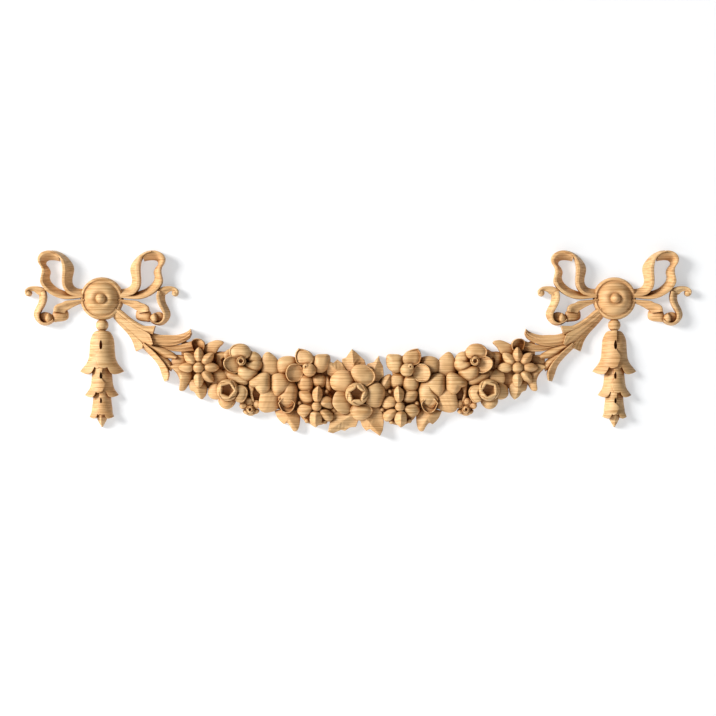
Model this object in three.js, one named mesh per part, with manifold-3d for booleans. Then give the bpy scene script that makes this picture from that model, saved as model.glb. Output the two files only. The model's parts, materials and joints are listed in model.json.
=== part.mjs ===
// Carved wood garland: a swag of flowers hung between two ribbon bows, with a drop of
// bellflowers under each bow. It is one carved piece with a flat back for fixing to a wall.
// Millimetres. +Z is up and the carved face looks along -Y. The origin is on the flat back,
// behind the middle flower. Every form stands on the back plane y = 0 and rises towards -Y.

import * as THREE from 'three';
import { mergeVertices } from 'three/addons/utils/BufferGeometryUtils.js';
import Module from 'manifold-3d';

// Driving dimensions
const BOSS_SPACING = 514.5; // between the centres of the two turned bosses
const BOSS_RISE = 97.6; // boss centres above the middle flower
const BOSS_RADIUS = 21.5;
const BOSS_HEIGHT = 20;
const BOW_REACH = 77; // from the boss centre to the outermost ribbon curl
const RIBBON_RELIEF = 14; // front edge of the ribbon loops above the back
const RIBBON_LOW_EDGE = 4; // far edge of the slanted ribbon face
const RIBBON_BAND = 2.8; // flat band along the front edge of the ribbon
const DROP_LENGTH = 109; // from the boss rim to the point of the last bud
const BELL_RELIEF = 13;
const HUSK_REACH = 94; // from the boss centre to the rolled leaf
const HUSK_RELIEF = 12.5;
const GROUND_THICKNESS = 4.5; // low ground that joins the flowers
const GROUND_HALF_WIDTH = 18.5;
const GROUND_END = 0.69; // where the ground stops, as a share of the half span
const SWAG_BEND = 2.5; // power of the curve that the swag hangs in
const DAISY_REACH = 20.5;
const DAISY_RELIEF = 17;
const PETAL_RELIEF = 19; // large petals of the swag
const LEAF_RELIEF = 11;
const MIDDLE_RELIEF = 22; // petals of the middle flower
const MIDDLE_BUD_RELIEF = 26;

// The sizes at which the bow, the drop and the husk are drawn below
const BOW_DRAWN_REACH = 77;
const DROP_DRAWN_LENGTH = 109;
const HUSK_DRAWN_REACH = 94;

// How finely the faceted solid follows its curves
const PETAL_SIDES = 7; // rim points of a rounded petal
const PLAIN_SIDES = 6; // rim points of a plain petal
const SMALL_SIDES = 5;
const BUD_SIDES = 9;
const BOSS_SIDES = 15;
const ROUNDED = [0.62]; // shares of the way out at which a rounded pad has a ring of points
const PLAIN = []; // a small pad rises straight to its middle
const ROUND_BELOW = 0.6; // petals lower than this under a flower's highest one are plain
const BEHIND = 3; // forms run this far past the back plane before it is cut flat

const wasm = await Module();
wasm.setup();

const radians = THREE.MathUtils.degToRad;
const mix = THREE.MathUtils.lerp;

// A closed geometry as a solid, with its faces turned outwards
function solid(geometry) {
  geometry.deleteAttribute('normal');
  geometry.deleteAttribute('uv');
  const merged = mergeVertices(geometry, 1e-4);
  const points = merged.attributes.position;
  const index = Array.from(merged.index.array);
  const faces = [];
  for (let i = 0; i < index.length; i += 3) {
    const [a, b, c] = index.slice(i, i + 3);
    if (a !== b && b !== c && c !== a) {
      faces.push([a, b, c]);
    }
  }
  const corner = (i) => new THREE.Vector3().fromBufferAttribute(points, i);
  const volume = faces.reduce((sum, [a, b, c]) => sum + corner(a).cross(corner(b)).dot(corner(c)), 0);
  const turned = volume < 0 ? faces.map(([a, b, c]) => [a, c, b]) : faces;
  return new wasm.Manifold(new wasm.Mesh({
    numProp: 3,
    vertProperties: new Float32Array(points.array),
    triVerts: new Uint32Array(turned.flat()),
  }));
}

function union(parts) {
  return parts.reduce((whole, part) => whole.add(part));
}

function asGeometry(carving) {
  const mesh = carving.getMesh();
  const geometry = new THREE.BufferGeometry();
  geometry.setAttribute('position', new THREE.BufferAttribute(new Float32Array(mesh.vertProperties), 3));
  geometry.setIndex(Array.from(mesh.triVerts));
  return geometry;
}

function mirrored(carving) {
  return solid(asGeometry(carving).scale(-1, 1, 1));
}

// A smooth curve through [x, z] points
function curve(points) {
  return new THREE.SplineCurve(points.map(([x, z]) => new THREE.Vector2(x, z)));
}

// A pad fills an outline round its centre: rings of points share the outline's form, each at
// the height that the given function says, with an upright wall from the rim to the back.
function pad(outline, centre, height, rings = ROUNDED) {
  const profile = [[0, 0], [1, 0], [1, 1], ...rings.map((share) => [share, 1]), [0, 1]];
  const geometry = new THREE.LatheGeometry(profile.map(([r, y]) => new THREE.Vector2(r, y)), outline.length);
  const position = geometry.attributes.position;
  for (let i = 0; i < position.count; i += 1) {
    const [rimX, rimZ] = outline[Math.floor(i / profile.length) % outline.length];
    const [share, raised] = profile[i % profile.length];
    const x = mix(centre[0], rimX, share);
    const z = mix(centre[1], rimZ, share);
    position.setXYZ(i, x, raised ? -height(share, x, z) : BEHIND, z);
  }
  return solid(geometry);
}

// A strip runs between two rails of matching [x, z] points. Its section is a list of shares
// across, and the height function takes the shares along and across.
function strip(frontRail, backRail, section, height, stations = Math.round(0.55 * frontRail.length)) {
  const front = curve(frontRail);
  const back = curve(backRail);
  const geometry = new THREE.BoxGeometry(1, 1, 1, stations, 1, section.length - 1);
  const position = geometry.attributes.position;
  for (let i = 0; i < position.count; i += 1) {
    const along = position.getX(i) + 0.5;
    const across = section[Math.round((position.getZ(i) + 0.5) * (section.length - 1))];
    const raised = position.getY(i) > 0;
    const from = front.getPoint(along);
    const to = back.getPoint(along);
    const y = raised ? -height(along, across, from.distanceTo(to)) : BEHIND;
    position.setXYZ(i, mix(from.x, to.x, across), y, mix(from.y, to.y, across));
  }
  return solid(geometry);
}

// A turned form from a profile of [radius, height] pairs that starts on its axis
function turned(x, z, profile, sides) {
  const points = [...profile, [profile.at(-1)[0], -BEHIND], [0, -BEHIND]];
  const geometry = new THREE.LatheGeometry(points.map(([r, h]) => new THREE.Vector2(r, h)), sides);
  const position = geometry.attributes.position;
  for (let i = 0; i < position.count; i += 1) {
    const [across, height, up] = [position.getX(i), position.getY(i), position.getZ(i)];
    position.setXYZ(i, x + across, -height, z + up);
  }
  return solid(geometry);
}

// A low round pad that joins small forms to the ground
function disc(x, z, radius) {
  return turned(x, z, [[0, GROUND_THICKNESS], [radius, GROUND_THICKNESS]], PETAL_SIDES);
}

// A ball sunk in the carving
function ball(x, z, radius, top, sides = SMALL_SIDES) {
  const profile = [[0, top], [radius * 0.9, top - radius * 0.6]];
  return turned(x, z, profile, sides);
}

// A petal: an egg outline whose tip points along turn, in degrees from +X towards +Z.
// sharp runs from 0 for a round end to 1 for a point. The top falls by fall to its rim, tilts
// by tilt towards its tip, and carries a ridge along its middle.
function petal({
  x, z, turn, long, wide, sharp = 0, top, fall = 4, tilt = 0, ridge = 0,
  rings = ROUNDED, sides = rings === PLAIN ? PLAIN_SIDES : PETAL_SIDES,
}) {
  const angle = radians(turn);
  const [tipX, tipZ] = [Math.cos(angle), Math.sin(angle)];
  const outline = Array.from({ length: sides }, (_, i) => {
    const t = (2 * Math.PI * i) / sides;
    const along = (long / 2) * Math.cos(t);
    const across = (wide / 2) * Math.sin(t) * mix(1, 1.3 * Math.abs(Math.sin(t / 2)), sharp);
    return [x + along * tipX - across * tipZ, z + along * tipZ + across * tipX];
  });
  const height = (share, px, pz) => {
    const along = ((px - x) * tipX + (pz - z) * tipZ) / (long / 2);
    const across = Math.abs((pz - z) * tipX - (px - x) * tipZ) / (wide / 2);
    const crest = ridge * (1 - Math.min(1, 2 * across));
    return top - fall * share ** 2 + tilt * along + crest;
  };
  return pad(outline, [x, z], height, rings);
}

// A petal or leaf with an outline drawn round x, z. Its top falls to the rim, leans towards one
// side, may be hollowed behind a raised rim on one side, and may have a ridge along its middle.
function shell({
  x, z, points, top, fall = 2, lean = 0, toward = 90, cup = 0, cupToward = 90, ridge = 0, along = 90,
  rings = ROUNDED, sides = rings === PLAIN ? PLAIN_SIDES : PETAL_SIDES,
}) {
  const corners = points.map(([dx, dz]) => new THREE.Vector3(x + dx, 0, z + dz));
  const drawn = new THREE.CatmullRomCurve3(corners, true);
  const rim = drawn.getSpacedPoints(sides).slice(1).map((point) => [point.x, point.z]);
  const heart = [0, 1].map((axis) => rim.reduce((sum, point) => sum + point[axis], 0) / rim.length);
  const size = Math.max(...rim.map(([px, pz]) => Math.hypot(px - heart[0], pz - heart[1])));
  const shareOf = (px, pz, turn) => {
    const angle = radians(turn);
    return ((px - heart[0]) * Math.cos(angle) + (pz - heart[1]) * Math.sin(angle)) / size;
  };
  const height = (share, px, pz) => {
    const hollow = share < 1 ? cup * THREE.MathUtils.clamp(0.55 + 1.2 * shareOf(px, pz, cupToward), 0, 1) : 0;
    const crest = ridge * (1 - Math.min(1, 2.2 * Math.abs(shareOf(px, pz, along + 90))));
    return top - 1.7 * fall * share ** 2.3 + lean * shareOf(px, pz, toward) - hollow + crest;
  };
  return pad(rim, heart, height, rings);
}

// Bow. Rails are [out, up] from the boss centre, drawn for the half that opens to the left.
const LOOP_SECTION = [0, 0.3, 1];
const LOWER_LOOP_FRONT = [
  [18, 0.9], [32, -0.6], [44, 1], [54.5, 7], [59.8, 13.5], [60.8, 20], [59.5, 27],
  [61.5, 33.4], [63.6, 39.5], [60, 45.7], [51.5, 48], [42.5, 43.4],
];
const LOWER_LOOP_BACK = [
  [20, 6], [31.5, 6], [41, 9], [49, 14.2], [52.2, 18.4], [52.5, 23], [51.8, 27.5],
  [54.8, 32.2], [56.2, 36], [54, 38.2], [49.6, 38.8], [43, 37.6],
];
const UPPER_LOOP_FRONT = [
  [50.5, 46.5], [46, 45], [42.3, 42], [39.8, 37.5], [38.7, 32], [38.7, 26], [39.2, 19], [38.7, 13],
  [36.2, 7.8], [31, 3.6], [20, 1.2],
];
const UPPER_LOOP_BACK = [
  [50, 48.6], [44.5, 47.6], [38, 44.2], [32.3, 38.6], [28.9, 33], [28.4, 27.5], [30, 20], [29.4, 14.6],
  [26.5, 11.3], [22, 10], [14, 10],
];
const FIRST_FOLD_TOP = [
  [17, -0.5], [28, -1.6], [35.5, -2.3], [39.5, -4.3], [44, -5.8], [47, -8.5], [47.8, -13],
];
const FIRST_FOLD_BOTTOM = [
  [17, -3.5], [24, -6], [29, -8.3], [32.5, -10.4], [34.6, -11.6], [36, -12.6], [37, -14.5],
];
const TAIL_FRONT = [
  [48.5, -20.5], [51, -22.6], [54.5, -24], [58, -23.8], [60.8, -21.5], [61.8, -18.5],
  [61.6, -15], [60, -11.5], [57.5, -7], [55.8, -2.5], [55.2, 2.4], [56.2, 7.5],
];
const TAIL_BACK = [
  [48, -22.8], [51.5, -25.4], [55.5, -26.9], [60.5, -26.6], [65, -23.5], [68, -19],
  [68.6, -14.5], [66.8, -9.5], [64.5, -5], [63.2, -0.6], [63.4, 4], [64.5, 6],
];
const FOLD_LOBE = [
  [34.8, -12.2], [33.8, -15.6], [33.9, -18.8], [35.5, -21.2], [39.5, -22.6], [44.3, -23.1],
  [48.2, -23.4], [49.5, -20], [49.6, -16], [48, -12.5], [43, -11.6], [38.5, -11.8],
];
const FOLD_ROLL = [
  [52.8, -14.6], [50, -16.6], [48.8, -20], [49.5, -23.8], [52.5, -24.8], [54.8, -22],
  [55, -17.5],
];
const FOLD_HOLLOW = [[54, -14], [60, -14], [62, -19], [59, -24], [53, -24], [52, -18]];
const CURL_TOP = [[56, 9], [61.5, 11.8], [68, 12.4], [73.2, 11.4], [76.6, 8.4], [76.8, 5]];
const CURL_BOTTOM = [[58, 2], [64.2, 4.2], [67, 6.6], [69.6, 7.6], [71.6, 6.6], [72, 5]];
const CURL_BALL = [73.6, 5.4];

function bowHalf(x, z, side) {
  const scale = BOW_REACH / BOW_DRAWN_REACH;
  const place = ([out, up]) => [x + side * out * scale, z + up * scale];
  const ribbon = (front, back, relief, low = RIBBON_LOW_EDGE) => {
    const height = (along, across, width) => {
      const band = Math.min(0.3, RIBBON_BAND / width);
      return across <= band ? relief(along) : mix(relief(along), low, (across - band) / (1 - band));
    };
    return strip(front.map(place), back.map(place), LOOP_SECTION, height);
  };
  const fold = (points, top, shape) => shell({
    x, z, points: points.map(([out, up]) => [side * out * scale, up * scale]), top, rings: PLAIN, ...shape,
  });
  const [tipX, tipZ] = place(CURL_BALL);
  return union([
    ribbon(LOWER_LOOP_FRONT, LOWER_LOOP_BACK, (along) => mix(RIBBON_RELIEF - 4, RIBBON_RELIEF, along)),
    ribbon(UPPER_LOOP_FRONT, UPPER_LOOP_BACK, (along) => mix(RIBBON_RELIEF + 3, RIBBON_RELIEF - 4, along)),
    ribbon(FIRST_FOLD_TOP, FIRST_FOLD_BOTTOM, () => RIBBON_RELIEF - 4, RIBBON_RELIEF - 6),
    fold(FOLD_HOLLOW, RIBBON_LOW_EDGE + 1, { fall: 0.5 }),
    fold(FOLD_LOBE, RIBBON_RELIEF - 4.5, { lean: 3, toward: 70 }),
    fold(FOLD_ROLL, RIBBON_RELIEF - 2.5, { fall: 3 }),
    ribbon(TAIL_FRONT, TAIL_BACK, () => RIBBON_RELIEF - 3),
    ribbon(CURL_TOP, CURL_BOTTOM, () => RIBBON_RELIEF - 5, RIBBON_RELIEF - 7),
    ball(tipX, tipZ, 3.2 * scale, RIBBON_RELIEF - 5),
  ]);
}

// Turned boss: a round bead in a hollow, inside a raised ring
function boss(x, z) {
  const shares = [
    [0, 1], [0.17, 0.91], [0.24, 0.75], [0.52, 0.78], [0.73, 0.6], [0.82, 0.44], [0.87, 0.51],
    [0.93, 0.34], [1, 0.26],
  ];
  return turned(x, z, shares.map(([r, h]) => [r * BOSS_RADIUS, h * BOSS_HEIGHT]), BOSS_SIDES);
}

// Bellflower drop. Each bell is drawn by its top, its length, and the half widths of its lip and
// waist. The petal on the lap side lies over the other, relief is against the first bell, and
// neck is the share of the relief that the bell starts with at its top.
const BELLS = [
  { top: -31.6, long: 43, lip: 22, waist: 12.4, lap: 1, relief: 0, neck: 0.62 },
  { top: -66, long: 32, lip: 16.6, waist: 10.2, lap: -1, relief: -1, neck: 0.85 },
  { top: -93, long: 26.5, lip: 11.8, waist: 9.4, lap: 1, relief: -1.5, neck: 0.85 },
];
const LAST_BUD_LONG = 17;
const LAST_BUD_SHOWN = 11; // how far the last bud hangs out of the last bell
const BELL_EDGE = 3.5; // height of a bell's side edge above the back

// One side petal of a bell: it wraps round to the middle and ends in a turned-out lip
function bellPetal(x, z, { long, lip, waist, lap, relief, neck }, side, scale) {
  const laps = side * lap > 0;
  const drawn = [
    [0, 0], [0.7 * waist, -0.06], [0.94 * waist, -0.24], [1.03 * waist, -0.5], [1.15 * waist, -0.7],
    [mix(waist, lip, 0.6), -0.85], [lip, -0.965], [0.65 * lip, -0.995], [0.27 * lip, -0.86],
    [laps ? -0.1 * lip : 0.1 * lip, -0.86], [laps ? -0.44 * waist : 0, -0.62], [0, -0.42],
  ];
  const outline = drawn.map(([out, up]) => [x + side * out * scale, z + up * long * scale]);
  const centre = [x + side * waist * 0.42 * scale, z - long * 0.55 * scale];
  const height = (share, px, pz) => {
    const down = (z - pz) / (long * scale);
    const width = waist * scale * (down < 0.7 ? 1.1 : mix(1.15, 1.85, (down - 0.7) / 0.3));
    const swell = mix(neck, 1.02, Math.min(1, 1.2 * down)) * (BELL_RELIEF + relief);
    const round = Math.sqrt(1 - 0.93 * Math.min(1, Math.abs(px - x) / width) ** 2);
    return mix(BELL_EDGE, swell, round) + (laps ? 1 : 0);
  };
  return pad(outline, centre, height, relief < 0 ? PLAIN : ROUNDED);
}

function drop(x, z) {
  const scale = DROP_LENGTH / DROP_DRAWN_LENGTH;
  const rim = z - BOSS_RADIUS;
  const below = (up) => rim + (up + BOSS_RADIUS) * scale;
  const lowest = BELLS.at(-1);
  const last = below(lowest.top - lowest.long - LAST_BUD_SHOWN + LAST_BUD_LONG / 2);
  const parts = [
    ball(x, below(-26.6), 6.2 * scale, 9, PETAL_SIDES),
    petal({
      x, z: below(-70), turn: 90, long: 104 * scale, wide: 7 * scale, top: 6, fall: 1, sides: SMALL_SIDES,
    }),
    petal({
      x, z: last, turn: -90, long: LAST_BUD_LONG * scale, wide: 10.5 * scale, sharp: 1, top: 8, fall: 4,
      ridge: 2,
    }),
  ];
  for (const bell of BELLS) {
    const top = below(bell.top);
    parts.push(bellPetal(x, top, bell, 1, scale), bellPetal(x, top, bell, -1, scale));
  }
  return union(parts);
}

// Leafy husk between the bow and the flowers. Rails are [out, up] from the boss centre.
const HUSK_BLADES = [
  {
    front: [[46, -33], [58.3, -36.1], [66.3, -36.4], [73.3, -36.6], [80, -35.4], [86, -33], [89.2, -30.4]],
    back: [[48, -46], [58, -46.9], [66, -47.6], [74.5, -46.6], [82, -43.6], [88, -40], [90.4, -35.4]],
    relief: 10, edge: 7.5, rise: 3,
  },
  {
    front: [[50, -45], [60, -45.8], [70, -46.8], [80, -45.6], [90, -42.6]],
    back: [[54, -48], [62, -50], [70, -52.4], [80, -53.4], [93, -52.6]],
    relief: 8, edge: 6, rise: 1,
  },
  {
    front: [[46, -44], [55, -47.2], [63.3, -50], [71.3, -54], [76.4, -58]],
    back: [[46, -47.5], [52, -50.5], [58, -55], [64, -58], [73, -60.4]],
    relief: 9.5, edge: 6.5, rise: 0,
  },
  {
    front: [[46, -49], [57, -54.6], [64.3, -58.6], [69, -63], [71, -68.2]],
    back: [[44, -51], [53, -57.5], [60.3, -62.2], [65, -66], [70.2, -69]],
    relief: 8, edge: 5.5, rise: 0,
  },
  {
    front: [[43, -44.5], [53.3, -53.4], [59.6, -60.2], [64.4, -66.5], [67.8, -74.5], [66.6, -82.2]],
    back: [[38.5, -47.6], [46.5, -55.2], [52.5, -61.5], [57.4, -68.5], [60.2, -76.5], [62.6, -83.2]],
    relief: 12, edge: 5, rise: 0,
  },
  {
    front: [[60, -62], [70, -66], [80, -69.5], [86, -76], [89, -82], [84, -91]],
    back: [[60, -64], [68, -68.6], [74.6, -74.6], [78, -81.6], [78, -88], [79.4, -92.4]],
    relief: 8, edge: 5, rise: 2,
  },
];
const SHEATH_ROLL_TOP = [
  [12, -6], [20.7, -12.4], [26.7, -17.6], [33.7, -22.6], [41.7, -26.9], [47.7, -27.4],
  [54, -27.2],
];
const SHEATH_ROLL_BOTTOM = [
  [9, -11], [17, -17.6], [24, -22.4], [31, -27.4], [38.5, -31.6], [45, -34.6], [51.4, -36],
];
const SHEATH_TOP = [
  [10, -9], [19, -17], [27, -22.6], [35, -28], [43, -32], [48.4, -35.4], [50.6, -40],
  [52, -45.4],
];
const SHEATH_BOTTOM = [
  [8, -14], [15, -21.6], [22, -28.6], [28, -34.6], [33.6, -40], [38, -43.6], [43, -46.4],
  [49.4, -47.8],
];
const SHEATH_LOBE_TOP = [
  [14, -18], [22, -26.6], [30, -34], [36, -39.6], [40, -43.6], [41.6, -46], [41.4, -49.6],
];
const SHEATH_LOBE_BOTTOM = [
  [11, -19], [17.7, -26.8], [23.7, -33], [28.5, -39], [31.4, -44.6], [33.2, -50], [34.4, -53],
];
const DAISY_LEAF = [[72, -57], [83, -58], [86, -68], [82, -77], [75, -72], [70, -66]];
const ROLLED_TIP = [
  [90, -43], [93.6, -40.2], [99, -40.4], [103.4, -44.4], [103, -51], [99, -53], [93, -53],
  [90.6, -48],
];

function husk(x, z) {
  const scale = HUSK_REACH / HUSK_DRAWN_REACH;
  const place = ([out, up]) => [x + out * scale, z + up * scale];
  const blade = (front, back, height) => strip(front.map(place), back.map(place), [0, 0.5, 1], height);
  const blades = HUSK_BLADES.map(({ front, back, relief, edge, rise }) => {
    const height = (along, across) => mix(edge, relief, Math.sin(Math.PI * across)) + rise * along ** 4;
    return blade(front, back, height);
  });
  const drawn = (points, shape) => shell({
    x, z, points: points.map(([out, up]) => [out * scale, up * scale]), rings: PLAIN, ...shape,
  });
  const roll = (along, across) => mix(8, HUSK_RELIEF, along) - 2 * across;
  const body = (along, across) => mix(8.5, HUSK_RELIEF + 1.5, along) - 4.5 * across ** 2;
  const lobe = (along, across) => mix(6.5, HUSK_RELIEF - 1, along) - 4 * across;
  return union([
    ...blades,
    blade(SHEATH_ROLL_TOP, SHEATH_ROLL_BOTTOM, roll),
    blade(SHEATH_TOP, SHEATH_BOTTOM, body),
    blade(SHEATH_LOBE_TOP, SHEATH_LOBE_BOTTOM, lobe),
    drawn(DAISY_LEAF, { top: HUSK_RELIEF - 5.5, fall: 1 }),
    drawn(ROLLED_TIP, { top: HUSK_RELIEF + 0.5, fall: 1, cup: 7, cupToward: 200, rings: ROUNDED }),
  ]);
}

// Flowers of the swag. Outlines are drawn as seen on the left half, from the flower's centre,
// and the first number runs towards the middle of the swag.
const ROSE_WITH_EYE = [
  {
    points: [
      [-13.5, -15], [-7.5, -12.5], [-0.5, -15], [6.5, -19], [7.5, -22.5], [1.5, -24.5], [-6.5, -21],
      [-13, -19],
    ],
    top: PETAL_RELIEF - 7, lean: 1, toward: 150,
  },
  {
    points: [
      [-18, 8], [-12, 12], [-8, 6], [-12, 2], [-17, 2],
    ],
    top: PETAL_RELIEF - 10, fall: 1,
  },
  {
    points: [
      [7, 5], [9.5, 9], [13, 9.4], [17.4, 6.6], [19.8, 2], [18, -3], [12, -3], [7, 0],
    ],
    top: PETAL_RELIEF - 5, lean: -1, toward: 0,
  },
  {
    points: [
      [4, -2], [9.5, -0.3], [13, 1.7], [18, 1.4], [20.7, -2], [19.5, -6], [15, -8.2], [9.5, -7.2],
      [5, -4.6],
    ],
    top: PETAL_RELIEF - 2, fall: 3, lean: -1.5, toward: 0,
  },
  {
    points: [
      [-4.5, 4.5], [-10.5, 5], [-16, 2.5], [-18, -1.4], [-16.7, -6.4], [-12.7, -10.4],
      [-7.5, -12.4], [-2.5, -10.7], [-0.5, -5.5], [-2, -1],
    ],
    top: PETAL_RELIEF - 1, fall: 1, cup: 8, cupToward: 200, lean: -0.5, toward: 200,
  },
  {
    points: [
      [-3, -6], [2.5, -5], [9.5, -7.4], [16, -10], [15.7, -14], [11.7, -18.6], [5.5, -20.4],
      [0, -18.4], [-3.7, -13.7], [-3.9, -9],
    ],
    top: PETAL_RELIEF, fall: 4, lean: -1.5, toward: -60,
  },
  {
    points: [
      [-10.5, 3.6], [-12.7, 9], [-11.5, 13], [-7.5, 16.4], [-1.5, 17.6], [4.5, 16], [8.7, 11],
      [9, 6], [5.6, 2.3], [1.5, 3], [-3.5, 3],
    ],
    top: PETAL_RELIEF + 0.5, fall: 3.5, cup: 2, cupToward: 200, lean: -1.5, toward: 60,
  },
];

const CUP_ROSE = [
  {
    points: [
      [12, -9], [16, -8], [19, -11], [17, -15], [12, -15],
    ],
    top: PETAL_RELIEF - 9,
  },
  {
    points: [
      [-10, 6], [-15.5, 6], [-19.5, 2], [-20.2, -4], [-17, -8.4], [-10.5, -9.6], [-5, -6],
    ],
    top: PETAL_RELIEF - 7, lean: 1.5, toward: 20,
  },
  {
    points: [
      [-8.5, -7], [-3.5, -8.4], [2.5, -9], [8, -9], [6.6, -14], [2.4, -18.4], [-2.5, -19.2],
      [-7, -16.8], [-9.7, -12],
    ],
    top: PETAL_RELIEF - 5, fall: 3, cup: 1.5, cupToward: 60, lean: -1, toward: -90,
  },
  {
    points: [
      [7.5, 4.4], [12.5, 4.9], [17.7, 3.7], [20.2, -1], [19, -7], [15.5, -12.2], [11, -12.5],
      [7, -9.5], [10, -3], [9, 1],
    ],
    top: PETAL_RELIEF - 1, fall: 3, cup: 2.5, cupToward: 0,
  },
];

const HOODED_FLOWER = [
  {
    points: [
      [3.5, -21], [6, -27], [9, -31], [13, -34.6], [16, -33], [19, -36], [22, -41], [24, -41.6],
      [27, -40], [29, -32], [28, -22], [18, -18],
    ],
    top: LEAF_RELIEF - 2, fall: 1.5, ridge: 2, along: -55,
  },
  {
    points: [
      [15, 14], [23, 9], [26.7, 2], [26.4, -6], [24, -15], [16, -17], [9, -12], [7, -7], [12, 0],
    ],
    top: PETAL_RELIEF - 2, fall: 4, lean: -1, toward: -10,
  },
  {
    points: [
      [-22, 7], [-16, 5], [-16.8, 0], [-17.8, -4], [-17.2, -9], [-16, -12], [-18.5, -12],
      [-20.4, -8], [-21.4, -2],
    ],
    top: PETAL_RELIEF - 6, fall: 2,
  },
  {
    points: [
      [-9, -1], [-3, 2], [5, 0], [9.4, -6], [9, -15], [5, -20.4], [-3, -22.7], [-9, -21.7],
      [-12.4, -17], [-11.6, -9],
    ],
    top: PETAL_RELIEF - 4, fall: 2.5, lean: 2.5, toward: 80, along: 70,
  },
  {
    points: [
      [7.5, -13], [9.5, -10], [14, -6], [19, -8], [24.4, -13], [22.4, -20], [17, -23.3],
      [11.2, -21],
    ],
    top: PETAL_RELIEF - 2, fall: 0.5, cup: 6, cupToward: -80,
  },
  {
    points: [
      [8, -8], [16, -5], [23, -8], [22, -15], [16, -18.6], [11, -16],
    ],
    top: PETAL_RELIEF - 2, fall: 1.5, cup: 4, cupToward: -80,
  },
  {
    points: [
      [1, 14], [6, 16.7], [13, 16.2], [19, 12.4], [21, 6], [17.4, 0], [10, -5.6], [5, -6.7],
      [1.3, -2], [-0.2, 5],
    ],
    top: PETAL_RELIEF + 1, fall: 5, lean: -1, toward: -30,
  },
  {
    points: [
      [-15, 14], [-9, 17.2], [-3, 17.2], [-0.3, 12], [-0.3, 2], [-4, -3], [-9, -4.7], [-13.5, -1],
      [-15.5, 2.5], [-15.5, 2.5], [-20.5, 4], [-21.7, 8], [-19, 11.5],
    ],
    top: PETAL_RELIEF + 2, fall: 4.5, lean: -0.5, toward: 180,
  },
];

const ROSE_WITH_BALL = [
  {
    points: [
      [-32.7, 2], [-31.7, 10], [-25.5, 13.7], [-16.5, 13.5], [-12, 9], [-12, 4], [-18, 2],
      [-23, -4], [-29.5, -4.5],
    ],
    top: PETAL_RELIEF - 5, fall: 3,
  },
  {
    points: [
      [2.5, -6], [8.5, -3.4], [14.5, -5], [17.2, -10], [14.7, -17], [8.5, -18.3], [3, -14],
    ],
    top: PETAL_RELIEF - 5, fall: 3, lean: -1, toward: -45,
  },
  {
    points: [
      [-9.5, -7], [-4.5, -5], [0.5, -6], [3.4, -11], [3.2, -18], [-0.5, -21.3], [-7.5, -21.3],
      [-11.4, -17], [-11.7, -12],
    ],
    top: PETAL_RELIEF - 3, fall: 3, lean: -1.5, toward: -90,
  },
  {
    points: [
      [6.5, 13.6], [11.5, 16], [18.5, 15.4], [21.3, 9], [19.2, 2], [13.5, -2.4], [7, -2], [3.5, 4],
      [4, 10],
    ],
    top: PETAL_RELIEF - 1, fall: 4, lean: -1.5, toward: 20,
  },
  {
    points: [
      [-20.5, 4.5], [-16.5, 6.2], [-10.5, 5.8], [-6.5, 2], [-5.5, -4], [-9.5, -10.7],
      [-15.5, -11.8], [-20.7, -10.7], [-23.5, -5], [-23, 0],
    ],
    top: PETAL_RELIEF, fall: 0.5, cup: 7, cupToward: 180, lean: -0.5, toward: 180,
  },
  {
    points: [
      [-11, 21.7], [-5.5, 20.8], [0.5, 18], [4.2, 13], [4, 8], [0, 5], [-6.5, 4.5], [-12, 6],
      [-14.4, 12], [-13.7, 18],
    ],
    top: PETAL_RELIEF + 1, fall: 3, cup: 3, cupToward: 190, lean: -1.5, toward: 70,
  },
];

const SMALL_FLOWER = [
  {
    points: [
      [-10, 5], [-6, 8], [-2.4, 5], [-3, 0.6], [-8, 1],
    ],
    top: LEAF_RELIEF + 1, fall: 2,
  },
  {
    points: [
      [-5, 9], [-1, 11.6], [3, 9], [2, 4], [-3, 4],
    ],
    top: LEAF_RELIEF + 2, fall: 2,
  },
  {
    points: [
      [3, 8], [8, 8.6], [9.4, 3], [6, 0.4], [3, 3],
    ],
    top: LEAF_RELIEF + 2, fall: 2, cup: 2, cupToward: 0,
  },
  {
    points: [
      [3, -1], [7.6, -1], [8.4, -5], [4, -6.2], [1, -4],
    ],
    top: LEAF_RELIEF + 1, fall: 2,
  },
  {
    points: [
      [-6.6, -1], [-2.6, -1], [1, -4], [-1.6, -6.4], [-6, -5],
    ],
    top: LEAF_RELIEF + 1, fall: 2, cup: 2, cupToward: 230,
  },
];

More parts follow.
